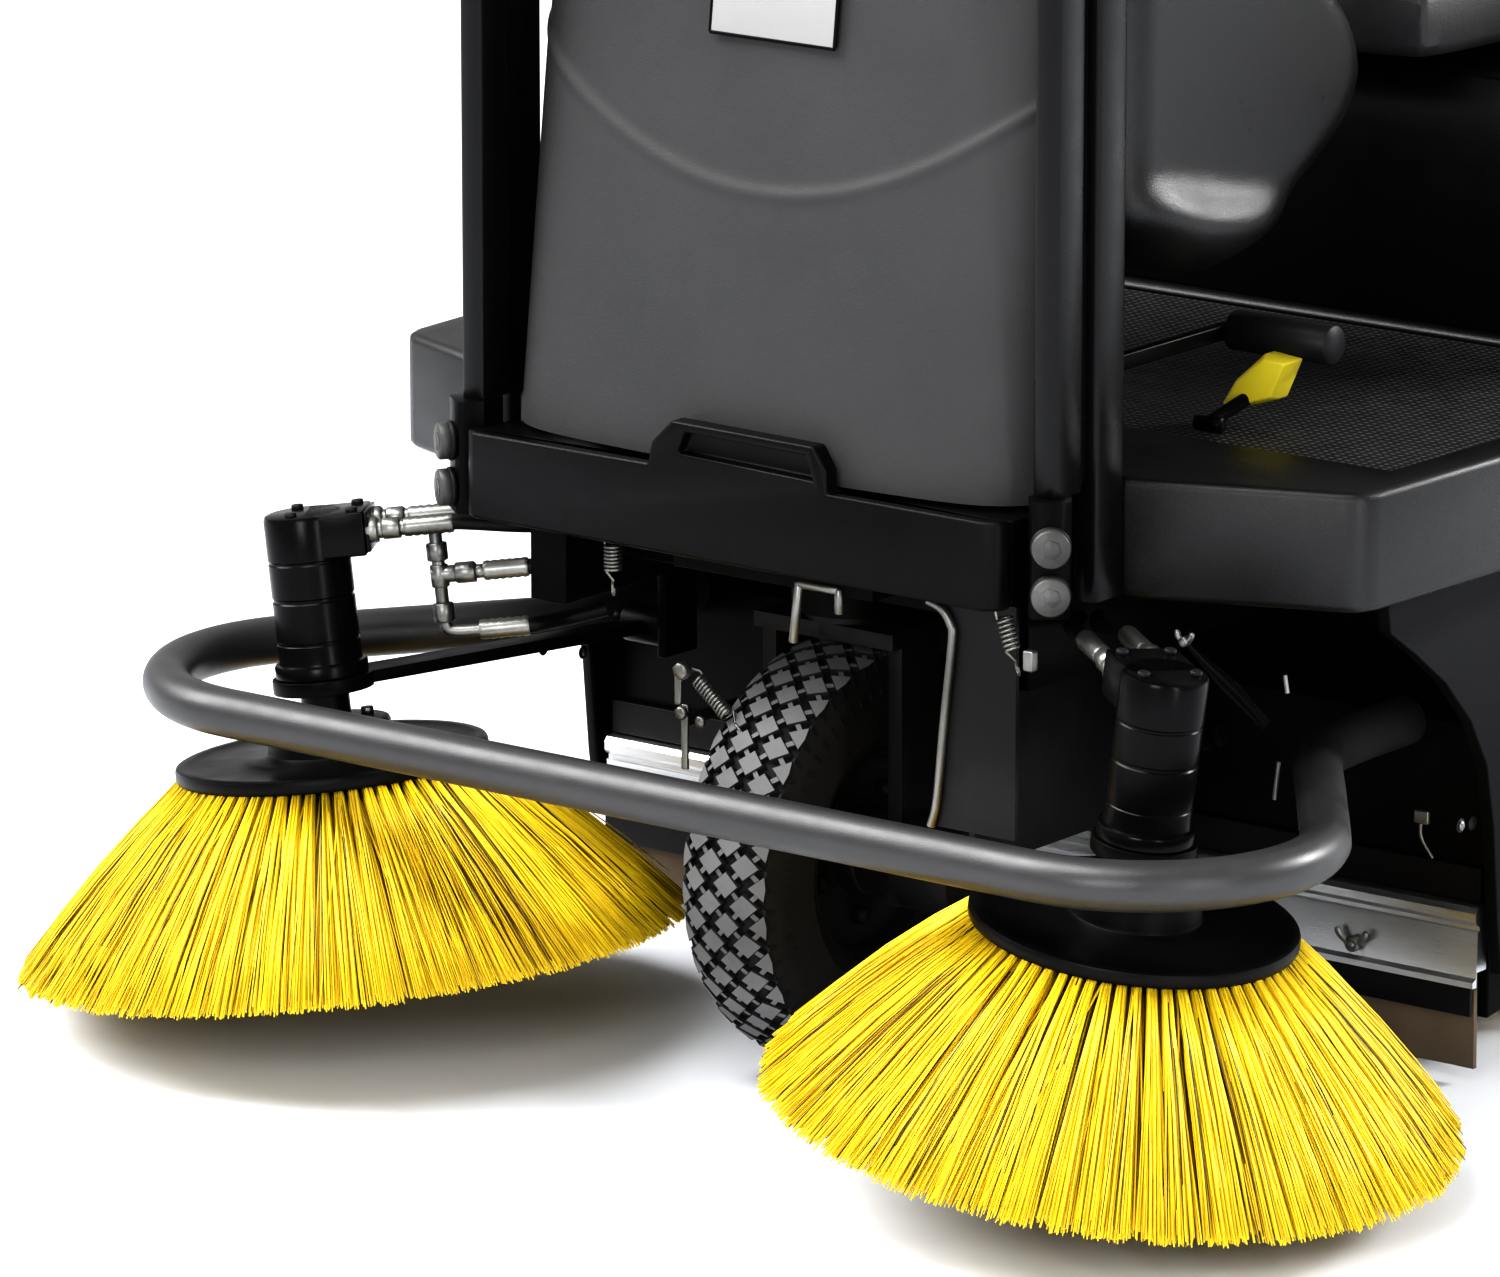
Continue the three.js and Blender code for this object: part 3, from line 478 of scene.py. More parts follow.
def soften(obj, width, segments=3, angle=35):
    """Rounds the hard edges of a piece and shades it smooth."""
    bevel = obj.modifiers.new("soft_edges", "BEVEL")
    bevel.width = width * MM
    bevel.segments = segments
    bevel.limit_method = "ANGLE"
    bevel.angle_limit = math.radians(angle)
    apply_modifiers(obj)
    obj.data.shade_smooth()
    obj.data.set_sharp_from_angle(angle=math.radians(40))
    return obj


def refined(node, width, material, segments=3, name=None):
    """A copy of a CAD node with its flat faces whole again and its edges rounded."""
    source = frame["nodes"][node]
    mesh = source.data.copy()
    mesh.materials.clear()
    mesh.materials.append(material)
    work = bmesh.new()
    work.from_mesh(mesh)
    bmesh.ops.remove_doubles(work, verts=work.verts, dist=2e-5)
    limit = math.radians(0.5)
    bmesh.ops.dissolve_limit(work, angle_limit=limit, verts=work.verts, edges=work.edges, delimit=set())
    work.to_mesh(mesh)
    work.free()
    copy = bpy.data.objects.new(name or f"{node}_shell", mesh)
    bpy.context.scene.collection.objects.link(copy)
    soften(copy, width, segments)
    slot = next(part["material_slot"] for part in frame["record"]["subparts"] if part["node"] == node)
    return place(copy, source["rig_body"], slot, node)


def lathe(name, profile, material, sides=96, spin=None):
    """A profile of (radius, height) points turned about Z, then moved by the matrix spin."""
    rings = len(profile)
    radius = np.array([p[0] for p in profile]) * MM
    height = np.array([p[1] for p in profile]) * MM
    turn = np.linspace(0, 2 * math.pi, sides, endpoint=False)
    across = np.outer(np.cos(turn), radius)
    along = np.outer(np.sin(turn), radius)
    grid = np.stack([across, along, np.tile(height, (sides, 1))], axis=2).reshape(-1, 3)
    faces = []
    for side in range(sides):
        here, there = side * rings, (side + 1) % sides * rings
        for ring in range(rings - 1):
            faces.append((here + ring, there + ring, there + ring + 1, here + ring + 1))
    obj = tidy_mesh(mesh_object(name, grid, faces, material), sharp=32)
    if spin:
        obj.data.transform(spin)
    return obj


def ring_profile(major, minor, sides=20):
    """The closed profile of a torus, for lathe."""
    turns = [2 * math.pi * step / sides for step in range(sides + 1)]
    return [(major + minor * math.cos(turn), minor * math.sin(turn)) for turn in turns]


def smooth_path(points, steps=8):
    """A Catmull-Rom line through the points."""
    line = []
    padded = [points[0] * 2 - points[1], *points, points[-1] * 2 - points[-2]]
    for index in range(1, len(padded) - 2):
        a, b, c, d = padded[index - 1:index + 3]
        for step in range(steps):
            t = step / steps
            linear = 2 * b + (c - a) * t
            curved = (2 * a - 5 * b + 4 * c - d) * t * t + (3 * b - a - 3 * c + d) * t ** 3
            line.append(0.5 * (linear + curved))
    line.append(points[-1])
    return line


def tube(name, line, radius, material, sides=20):
    """A closed tube along points in metres; the radius, in millimetres, is one or one per point."""
    radii = radius if isinstance(radius, (list, tuple)) else [radius] * len(line)
    vertices = []
    across = (line[1] - line[0]).normalized().orthogonal().normalized()
    for index, point in enumerate(line):
        ahead = line[min(index + 1, len(line) - 1)] - line[max(index - 1, 0)]
        ahead.normalize()
        across = (across - ahead * across.dot(ahead)).normalized()
        up = ahead.cross(across)
        for side in range(sides):
            turn = 2 * math.pi * side / sides
            vertices.append(point + (across * math.cos(turn) + up * math.sin(turn)) * radii[index] * MM)
    faces = grid_faces(len(line), sides) + cap_faces(len(line), sides)
    obj = mesh_object(name, vertices, faces, material)
    obj.data.set_sharp_from_angle(angle=math.radians(50))
    return obj


def bar(name, start, end, radius, material, sides=20, chamfer=0.0):
    """A round or, with 6 sides, hexagonal bar between two points."""
    if not chamfer:
        return tube(name, [start, end], radius, material, sides)
    inwards = (end - start).normalized() * chamfer * MM
    line = [start, start + inwards, end - inwards, end]
    return tube(name, line, [radius - chamfer, radius, radius, radius - chamfer], material, sides)


def box(name, low, high, material, edge=1.5):
    """A block between two corners given in machine millimetres, with rounded edges."""
    (x0, y0, z0), (x1, y1, z1) = at(*low), at(*high)
    corners = [(x, y, z) for z in (z0, z1) for y in (y0, y1) for x in (x0, x1)]
    faces = [(0, 2, 3, 1), (4, 5, 7, 6), (0, 1, 5, 4), (2, 6, 7, 3), (0, 4, 6, 2), (1, 3, 7, 5)]
    return soften(mesh_object(name, corners, faces, material, smooth=False), edge)


def rounded_outline(points, times=2):
    """Cuts the corners of a closed outline again and again, so that it runs smoothly."""
    for _ in range(times):
        cut = []
        for index, (a, b) in enumerate(points):
            c, d = points[(index + 1) % len(points)]
            cut.append((a * 0.75 + c * 0.25, b * 0.75 + d * 0.25))
            cut.append((a * 0.25 + c * 0.75, b * 0.25 + d * 0.75))
        points = cut
    return points


def pillow(name, outline, low, high, radius, material, steps=8, caps=10):
    """An outline in Y and Z, spread along X from low to high, with both of its ends rounded in."""
    centre = [(min(p[i] for p in outline) + max(p[i] for p in outline)) / 2 for i in (0, 1)]
    reach = [(max(p[i] for p in outline) - min(p[i] for p in outline)) / 2 for i in (0, 1)]
    half = [math.pi / 2 * step / steps for step in range(steps + 1)]
    inner = [1 - step / caps for step in range(1, caps)]
    stations = [(low, radius / min(reach), share) for share in reversed(inner)]
    rounding = [(radius * (1 - math.cos(turn)), radius * (1 - math.sin(turn))) for turn in half]
    stations += [(low + along, inset, 1) for along, inset in rounding]
    stations += [(high - along, inset, 1) for along, inset in reversed(rounding)]
    stations += [(high, radius / min(reach), share) for share in inner]
    vertices = []
    for x, inset, share in stations:
        pulls = [share * (1 - (inset if share == 1 else radius) / span) for span in reach]
        for y, z in outline:
            across = centre[0] + (y - centre[0]) * pulls[0]
            vertices.append(at(x, across, centre[1] + (z - centre[1]) * pulls[1]))
    count = len(outline)
    faces = grid_faces(len(stations), count) + cap_faces(len(stations), count)
    return tidy_mesh(mesh_object(name, vertices, faces, material), sharp=50)


def joined(name, pieces):
    """Several pieces as one object, in place of the pieces."""
    bpy.ops.object.select_all(action="DESELECT")
    for piece in pieces:
        piece.select_set(True)
    bpy.context.view_layer.objects.active = pieces[0]
    bpy.ops.object.join()
    result = bpy.context.view_layer.objects.active
    result.name = name
    return result


def moved(obj, matrix):
    obj.data.transform(matrix)
    return obj


def place_on_side(side, obj, body, slot, *nodes):
    """Places a piece made for the left side, mirrored if it belongs on the right side."""
    if side < 0:
        obj.data.transform(Matrix.Scale(-1, 4, (1, 0, 0)))
        obj.data.flip_normals()
    return place(obj, body, slot, *nodes)


def coil(name, top, bottom, turns, radius, wire):
    """A tension spring with a hook at both ends."""
    per_turn = 14
    axis = (bottom - top).normalized()
    across = axis.orthogonal().normalized()
    up = axis.cross(across)
    line = [top - axis * 16 * MM, top - axis * 6 * MM + across * radius * MM]
    for step in range(turns * per_turn + 1):
        turn = 2 * math.pi * step / per_turn
        centre = top + (bottom - top) * step / (turns * per_turn)
        line.append(centre + (across * math.cos(turn) + up * math.sin(turn)) * radius * MM)
    tail = bottom + axis * 18 * MM
    for step in range(8):
        turn = math.radians(40 * step)
        line.append(tail + (up * math.sin(turn) - axis * math.cos(turn)) * 7 * MM)
    return tube(name, line, wire, zinc(), 8)


# ---- Side brushes ---------------------------------------------------------------------------
BRUSH_FRAME = Matrix.Translation(at(BRUSH["x"], 0, BRUSH["z"])) @ Matrix.Rotation(BRUSH_TILT, 4, "Y")
PORT_FRAME = BRUSH_FRAME @ Matrix.Rotation(PORT_TURN, 4, "Z")


def strands(name, roots, tips, bend, widths, tones, material, rings=5, sides=3):
    """Tapered filaments from roots to tips, bowed by bend, with one tone each."""
    count = len(roots)
    share = np.linspace(0, 1, rings)
    line = roots[:, None, :] + (tips - roots)[:, None, :] * share[None, :, None]
    line += bend[:, None, :] * (4 * share * (1 - share))[None, :, None]
    along = tips - roots
    along /= np.linalg.norm(along, axis=1, keepdims=True)
    across = np.cross(along, np.array([0.31, 0.17, 0.94]))
    across /= np.linalg.norm(across, axis=1, keepdims=True)
    up = np.cross(along, across)
    thickness = widths[:, None] * (1 - 0.35 * share)[None, :]
    vertices = np.empty((count, rings, sides, 3))
    for side in range(sides):
        turn = 2 * math.pi * side / sides
        offset = across * math.cos(turn) + up * math.sin(turn)
        vertices[:, :, side, :] = line + offset[:, None, :] * thickness[:, :, None]
    faces = []
    for strand in range(count):
        base = strand * rings * sides
        faces += grid_faces(rings, sides, first=base)
        faces.append(tuple(base + (rings - 1) * sides + side for side in range(sides)))
        faces.append(tuple(base + sides - 1 - side for side in range(sides)))
    obj = mesh_object(name, vertices.reshape(-1, 3), faces, material)
    layer = obj.data.attributes.new("tone", "FLOAT", "POINT")
    layer.data.foreach_set("value", np.repeat(tones, rings * sides).astype(np.float32))
    return obj


def side_brush_bristles(label, side, seed):
    """Tufts under the disc's rim that stay bundled at first and fan out into a ragged skirt."""
    rng = np.random.default_rng(seed)
    tufts, per_tuft = 68, 34
    # Each row: root radius, tip radius, turn offset in tuft pitches, and a factor on its tones that is
    # painted shade, darker for the inner rows that sit deeper in the skirt.
    rows = ((149, 331, 0.0, 1.0), (139, 325, 0.0, 0.8), (129, 305, 0.5, 0.45))
    pitch = 2 * math.pi / tufts
    turns = np.concatenate([(np.arange(tufts) + row[2]) * pitch for row in rows])
    root_radius, tip_radius, light = (np.repeat([row[i] for row in rows], tufts) for i in (0, 1, 3))
    lean = rng.normal(0, 0.16, len(turns)) * pitch
    tuft_reach = rng.normal(0, 2.5, len(turns))
    spread = (turns, lean, root_radius, tip_radius, light, tuft_reach)
    turn, lean, root_radius, tip_radius, light, tuft_reach = (np.repeat(v, per_tuft) for v in spread)
    count = len(turn)
    place_in_tuft = rng.uniform(-1, 1, count)
    start_turn = turn + place_in_tuft * 0.27 * pitch
    end_turn = turn + lean + (place_in_tuft * 0.42 + rng.normal(0, 0.17, count)) * pitch
    start = root_radius + rng.uniform(-3.5, 3.5, count)
    reach = tip_radius + tuft_reach - np.abs(rng.normal(0, 6.0, count))
    drop = BRUSH["drop"] - np.abs(rng.normal(0, 5.0, count))
    stray = rng.random(count) < 0.02
    end_turn = np.where(stray, end_turn + rng.normal(0, 0.9, count) * pitch, end_turn)
    # About one strand in thirteen is near black and thinner: partly stained strands, partly painted
    # shadow between strands.
    stain_and_shadow = rng.random(count) < 0.075
    roots = np.stack([start * np.cos(start_turn), start * np.sin(start_turn), np.full(count, -6.0)], 1)
    tips = np.stack([reach * np.cos(end_turn), reach * np.sin(end_turn), -drop], 1)
    swell = rng.normal(4.0, 1.8, count) + np.where(stain_and_shadow, 1.5, 0.0)
    bends = np.stack([swell * np.cos(turn), swell * np.sin(turn), swell * 0.6], 1)
    widths = np.where(stain_and_shadow, rng.uniform(0.5, 0.9, count), rng.uniform(0.95, 1.45, count))
    tones = np.where(stain_and_shadow, 0.02, np.clip(rng.uniform(0.35, 1.0, count) * light, 0.13, 1.0))
    name = f"side_brush_strands_{label}"
    piece = strands(name, roots * MM, tips * MM, bends * MM, widths * MM, tones, bristle_yellow())
    body = f"side_brush_{label}"
    place_on_side(side, moved(piece, BRUSH_FRAME), body, "bristle", f"brush_bristles_{label}")
    low = -BRUSH["drop"]
    profile = [(108, -8), (124, -9), (226, low + 52), (262, low + 24), (256, low + 16), (220, low + 32)]
    # The dark cone inside the skirt is painted shade between the tufts.
    core = lathe(f"side_brush_shade_core_{label}", profile + profile[:1], painted_shade_core(), 72, BRUSH_FRAME)
    place_on_side(side, core, body, "bristle")


def brush_disc(label, side):
    profile = [
        (0, 1), (116, 1), (118, -6.8), (150, -7.0), (153.5, -6.0), (155, -3.5), (155, 4.0),
        (153.8, 6.8), (151, 8), (144, 8), (140, 6.6), (90, 6.6), (86, 8.4), (66, 9.0), (63, 11),
        (62, 14), (62, 34), (60.5, 37), (57, 38), (27, 38), (24.5, 40), (24, 44), (24, 67), (0, 67),
    ]
    disc = lathe(f"side_brush_disc_{label}", profile, black_moulding(), 128, BRUSH_FRAME)
    place_on_side(side, disc, f"side_brush_{label}", "moulding", f"brush_disc_{label}")
    bolts = []
    for index in range(4):
        turn = math.pi / 2 * index + 0.4
        foot = polar(44, turn, 37.5)
        bolts.append(bar("disc_bolt", foot, foot + mm(0, 0, 7), 7, zinc(), 6, 0.8))
    group = moved(joined(f"side_brush_bolts_{label}", bolts), BRUSH_FRAME)
    place_on_side(side, group, f"side_brush_{label}", "zinc")


# ---- Brush motors, fittings and arms --------------------------------------------------------
def brush_motor(label, side):
    profile = [
        (0, 84.5), (45, 84.5), (46, 86), (46, 96), (45, 98), (41.5, 99), (41, 101), (41, 118),
        (40, 119), (40, 121), (41, 122), (41, 160), (39.6, 161.5), (39.6, 164), (41, 165.5),
        (41, 198), (40, 199.5), (40, 201), (41, 202.5), (41, 242), (39.5, 245.5), (36, 247), (0, 247),
    ]
    barrel = lathe("barrel", profile, motor_paint(), 72, BRUSH_FRAME)
    ports = box("ports", (PORT_FACE, -36, 203), (0, 36, 247), motor_paint(), 2.5)
    ports = moved(moved(ports, Matrix.Translation(-at(0, 0, 0))), PORT_FRAME)
    body = joined(f"motor_body_{label}", [barrel, ports])
    place_on_side(side, body, f"brush_arm_{label}", "motor", f"brush_motor_{label}")
    bolts = []
    for x, y in ((-50, -24), (-50, 24), (10, -26), (10, 26)):
        foot = mm(x, y, 246)
        bolts.append(bar("head_bolt", foot, foot + mm(0, 0, 5), 6, machine_paint(), 12, 0.8))
    group = moved(joined(f"motor_bolts_{label}", bolts), PORT_FRAME)
    place_on_side(side, group, f"brush_arm_{label}", "iron")


def ferrule(x, y, z, length):
    """A crimped sleeve along -X, with grooves pressed round it."""
    grooves = 6
    line, radii = [], []
    for index in range(grooves * 2 + 1):
        line.append(mm(x - length * index / (grooves * 2), y, z))
        radii.append(10.0 if index % 2 else 9.1)
    return tube("ferrule", line, radii, zinc(), 20)


def nut(start, end, radius):
    return bar("nut", mm(*start), mm(*end), radius, zinc(), 6, 1.2)


def pipe(start, end, radius):
    return bar("pipe", mm(*start), mm(*end), radius, zinc(), 20, 0.8)


def hose_end(y, z):
    """Port nut, neck, union nut and ferrule, outwards from the motor's port."""
    x = PORT_FACE
    return [
        nut((x, y, z), (x - 12, y, z), 14),
        pipe((x - 11, y, z), (x - 17, y, z), 9),
        nut((x - 16, y, z), (x - 34, y, z), 11.5),
        pipe((x - 33, y, z), (x - 40, y, z), 8),
        ferrule(x - 38, y, z, 48),
    ]


def tee(y, z):
    """The pipe down from the front hose end, with its two lower hose ends."""
    x = PORT_FACE - 67
    bend = [mm(x - back, y, z - down) for back, down in ((0, 96), (2, 103), (10, 107), (36, 108))]
    return [
        pipe((x, y, z - 8), (x, y, z - 88), 6.5),
        nut((x, y, z - 18), (x, y, z - 36), 10.5),
        pipe((x + 8, y, z - 50), (x - 20, y, z - 50), 8.5),
        nut((x - 16, y, z - 50), (x - 36, y, z - 50), 11.5),
        pipe((x - 34, y, z - 50), (x - 46, y, z - 50), 7),
        ferrule(x - 44, y, z - 50, 44),
        pipe((x, y, z - 62), (x, y, z - 40), 9),
        nut((x, y, z - 78), (x, y, z - 97), 10.5),
        tube("bend", smooth_path(bend, 6), 6, zinc(), 16),
        ferrule(x - 34, y, z - 108, 49),
    ]


def fittings(label, side):
    front, rear = (-21, 226), (21, 230)
    plate = box("port_plate", (PORT_FACE - 4, -33, 206), (PORT_FACE, 33, 246), motor_paint(), 1)
    moved(plate, Matrix.Translation(-at(0, 0, 0)))
    metal = [*hose_end(*front), *hose_end(*rear)]
    routes = [
        [(-142, -21, 226), (-156, -21, 226), (330, 110, 504), (311, 150, 500)],
        [(-142, 21, 230), (-154, 21, 230), (350, 128, 504), (318, 170, 498)],
    ]
    if side < 0:
        metal += tee(*front)
        routes.append([(-212, -21, 176), (-226, -19, 176), (315, 128, 465), (315, 165, 462)])
        routes.append([(-208, -21, 118), (-220, -19, 118), (296, 136, 410), (270, 164, 418)])
    group = moved(joined(f"hose_fittings_{label}", metal), PORT_FRAME)
    body = f"brush_arm_{label}"
    place_on_side(side, group, body, "zinc", f"brush_fittings_{label}")
    place_on_side(side, moved(plate, PORT_FRAME), body, "motor")
    for index, (start, leaving, *beside) in enumerate(routes):
        line = [PORT_FRAME @ mm(*start), PORT_FRAME @ mm(*leaving)]
        line += [at(*point) for point in beside]
        hose = tube(f"brush_hose_{index}_{label}", smooth_path(line, 8), 7.8, hose_rubber(), 16)
        place_on_side(side, hose, body, "rubber")


# ---- Bumper, cheek plate, springs -----------------------------------------------------------
def bumper():
    """The tube loop: wide front, two bends and legs that run inwards and back to the rails."""
    y, z, bend_x, bend, leg = -158, 345, 483, 170, 38
    half = [at(0, y, z), at(bend_x * 0.5, y, z), at(bend_x * 0.9, y, z)]
    steps = 12
    for step in range(steps + 1):
        turn = math.radians(90 + leg) * step / steps
        half.append(at(bend_x + bend * math.sin(turn), y + bend - bend * math.cos(turn), z))
    half += [at(520, 250, z), at(468, 322, z), at(445, 370, z), at(438, 430, z), at(438, 515.4, z)]
    other = [Vector((-point.x, point.y, point.z)) for point in reversed(half[1:])]
    loop = tube("bumper_tube", smooth_path(other + half, 6), 24, powder_coat(), 40)
    place(loop, "chassis", "frame", "bumper_loop")


def cheek_plate():
    """The grey plate beside the front wheel: a sheet with a rolled front edge and a wall behind it."""
    edge = [(203, 519), (219, 513), (229, 500), (231, 484), (222, 406), (214, 327), (207, 300)]
    sheet = [at(x, 60, z) for x, z in edge[1:]] + [at(303, 60, 300), at(303, 60, 527), at(222, 60, 527)]
    depth = mm(0, 5, 0)
    face = prism("cheek_face", sheet, Vector, lambda point: point + depth, machine_paint(), 30)
    wall = box("cheek_wall", (246, 64, 262), (254, 300, 439), machine_paint(), 1)
    place(joined("cheek_sheet", [face, wall]), "chassis", "frame", "cheek_plate")
    line = smooth_path([at(x, 57, z) for x, z in edge], 6)
    # The rolled edge of the black sheet gets a bright zinc finish: a painted highlight along its lit
    # edge.
    place(tube("cheek_rolled_edge", line, 4.5, zinc(), 16), "chassis", "zinc")


def small_ironwork():
    """Springs, hooks, stops and pins below the belt, and two bolts on the flap bar."""
    pieces = [
        coil("spring_left", at(308, 34, 524), at(318, 34, 494), 7, 7, 1.5),
        coil("spring_right", at(-157, 34, 526), at(-157, 34, 500), 7, 8, 1.6),
        box("hook_block_left", (336, 24, 478), (348, 34, 498), zinc(), 2),
        bar("stop_left", at(63, 40, 520), at(56, 40, 459), 4.6, zinc(), 16, 1),
        bar("stop_top", at(63, 40, 518), at(111, 40, 518), 4.6, zinc(), 16, 1),
        bar("stop_right", at(110, 40, 520), at(111, 40, 495), 4.6, zinc(), 16, 1),
        bar("hanger_pin_a", at(512, 200, 466), at(515, 200, 449), 2.2, zinc(), 10),
        bar("hanger_pin_b", at(506, 200, 381), at(502, 200, 344), 2.2, zinc(), 10),
        bar("bar_bolt_a", at(263, 498, 149), at(263, 488, 149), 6, zinc(), 6, 1.2),
        bar("bar_bolt_b", at(292, 498, 158), at(292, 488, 158), 6, zinc(), 6, 1.2),
    ]
    place(joined("front_ironwork", pieces), "chassis", "zinc")


def brake_lever():
    """The flat lever with its spring beside the front tyre; it steers with the fork."""
    pieces = [
        coil("lever_spring", at(-74, 60, 398), at(-38, 60, 368), 12, 6.5, 1.5),
        box("lever_top", (-96, 50, 372), (-88, 54, 404), zinc(), 1.5),
        box("lever_low", (-88, 50, 309), (-80, 54, 374), zinc(), 1.5),
        bar("lever_bolt_top", at(-84, 42, 408), at(-84, 54, 408), 9, zinc(), 6, 1.5),
        bar("lever_bolt_low", at(-85, 44, 366), at(-85, 51, 366), 7, zinc(), 6, 1.5),
        bar("lever_bolt_side", at(-66, 50, 359), at(-66, 56, 359), 6, zinc(), 6, 1.0),
        box("lever_strap", (-86, 52, 352), (-81, 190, 364), machine_paint(), 1),
    ]
    place(joined("brake_lever_ironwork", pieces), "steering_fork", "zinc")


def corner_strap():
    """The strap behind the left brush motor, its wing nut, and the latch near the flap bar's end."""
    line = [at(438, 150, 492), at(482, 150, 461), at(525, 150, 430)]
    place(tube("motor_strap", line, [3, 8, 6], black_frame(), 12), "chassis", "frame")
    pieces = [bar("wing_hub", at(432, 146, 496), at(432, 156, 496), 5, zinc(), 16, 1)]
    for way in (-1, 1):
        wing = [at(432 + way * reach, 150, 496 + rise) for reach, rise in ((3, 1), (7, 4), (9, 10))]
        pieces.append(tube("wing", smooth_path(wing, 4), [3] * 8 + [2], zinc(), 12))
    pieces.append(box("latch", (453, 509, 246), (470, 515, 260), zinc(), 2))
    wire = [at(x, 512, z) for x, z in ((460, 248), (461, 232), (474, 214), (484, 198))]
    pieces.append(tube("latch_wire", smooth_path(wire), 2, zinc(), 10))
    place(joined("corner_fasteners", pieces), "chassis", "zinc")


def foot_bolts(label, side):
    spin = Matrix.Translation(at(POST_FOOT["x"], POST_FOOT["y"], POST_FOOT["z"]))
    spin @= Matrix.Rotation(POST_FOOT["turn"], 4, "Z")
    pieces = []
    for z in (24, 70):
        face, out = mm(0, -24.9, z), mm(0, -1, 0)
        pieces.append(bar("flange", face, face + out * 5, 19.6, machine_paint(), 32, 1.2))
        pieces.append(bar("head", face + out * 4, face + out * 15.4, 18.2, worn_zinc(), 32, 1.6))
        pieces.append(bar("hexagon", face + out * 15, face + out * 17, 10.0, worn_zinc(), 6, 1.0))
    group = moved(joined(f"foot_bolts_{label}", pieces), spin)
    place_on_side(side, group, "chassis", "zinc")


def panel_screws(label, side):
    """Screws near the front edge of a side panel, with their washers."""
    pieces = []
    for face, way, y, z in ((560.2, 1, 428, 279), (545.8, -1, 473, 269), (560.2, 1, 560, 150)):
        start = at(face, y, z)
        out = mm(way, 0, 0)
        pieces.append(bar("washer", start, start + out * 1.6, 7.0, machine_paint(), 24, 0.5))
        pieces.append(bar("screw", start + out * 1.4, start + out * 4.0, 4.4, zinc(), 20, 1.4))
    place_on_side(side, joined(f"panel_screws_{label}", pieces), "chassis", "zinc")


# ---- Wheels ---------------------------------------------------------------------------------
def wheel_frame(x, y):
    return Matrix.Translation(at(x, y, TYRE["radius"])) @ Matrix.Rotation(math.pi / 2, 4, "Y")


def tread_radius(across):
    """Outer radius of the tread, in millimetres, at a distance from the tyre's middle."""
    return TYRE["radius"] - 0.0085 * max(0.0, abs(across) - 14) ** 2


def tyre(node, x, y, body):
    half, rim = TYRE["half"], TYRE["rim"]
    wall = [(rim, -half + 15), (122, -half + 6), (127, -half + 2), (144, -half + 1), (166, -half + 0.5),
            (184, -half + 1.5), (198, -half + 5)]
    profile = list(wall)
    steps = 8
    groove = 8.5
    for step in range(steps + 1):
        across = -half + 9 + (2 * half - 18) * step / steps
        profile.append((tread_radius(across) - groove, across))
    profile += [(radius, -across) for radius, across in reversed(wall)]
    casing = lathe("casing", profile + profile[:1], tyre_wall(), 128)
    whole = joined(f"{node}_detailed", [casing, tread_blocks(), wall_ribs()])
    place(moved(whole, wheel_frame(x, y)), body, "tyre", node)


def frustum(layers):
    """Vertices and faces of an open-bottomed block, from rings of four corners each."""
    vertices = [corner for ring in layers for corner in ring]
    return vertices, grid_faces(len(layers), 4) + cap_faces(len(layers), 4)[1:]


def blocks_object(name, blocks, top, sides):
    """Many small blocks as one piece, with one finish for their tops and one for their sides."""
    vertices, faces, finishes = [], [], []
    for corners, around in blocks:
        base = len(vertices)
        vertices += corners
        faces += [tuple(base + index for index in face) for face in around]
        finishes += [1] * (len(around) - 1) + [0]
    obj = mesh_object(name, vertices, faces, top, smooth=False)
    obj.data.materials.append(sides)
    obj.data.polygons.foreach_set("material_index", finishes)
    return obj


def on_tread(turn, across, sink):
    return polar(tread_radius(across) - sink, turn, across)


def tread_block(turn, across, corners, low):
    """One block or tie bar of the tread: corners are (lengthwise, sideways) in millimetres."""
    limit = TYRE["half"] - 4.0
    layers = []
    for size, sink in ((1.05, 10.0), (1.0, low + 1.0), (0.93, low)):
        ring = []
        for lengthwise, sideways in corners:
            place_across = max(-limit, min(limit, across + sideways * size))
            ring.append(on_tread(turn + lengthwise * size / TYRE["radius"], place_across, sink))
        layers.append(ring)
    return frustum(layers)


def tread_blocks():
    """Six staggered rows of diamond blocks with short ties between them."""
    rows, around, row_pitch = 6, 33, 19.4
    pitch = 2 * math.pi * TYRE["radius"] / around
    diamond = ((13.8, 0), (0, 15.0), (-13.8, 0), (0, -15.0))
    blocks = []
    for row in range(rows):
        middle = (row - (rows - 1) / 2) * row_pitch
        for index in range(around):
            turn = 2 * math.pi * (index + 0.5 * (row % 2)) / around
            blocks.append(tread_block(turn, middle, diamond, 0.0))
            if row == rows - 1:
                continue
            for way in (-1, 1):
                along, aside = way * pitch / 2, row_pitch
                length = math.hypot(along, aside)
                ahead = (along / length * 6, aside / length * 6)
                beside = (-aside / length * 2.6, along / length * 2.6)
                tie = [
                    (a * ahead[0] + b * beside[0], a * ahead[1] + b * beside[1])
                    for a, b in ((1, -way), (1, way), (-1, way), (-1, -way))
                ]
                tie_turn = turn + along / 2 / TYRE["radius"]
                blocks.append(tread_block(tie_turn, middle + aside / 2, tie, 2.5))
    # Block tops get the grey tread rubber, their sides and the groove floors the near-black wall rubber:
    # painted light on the tops, painted shade down the sides and in the grooves.
    return blocks_object("tread", blocks, tyre_rubber(), tyre_wall())


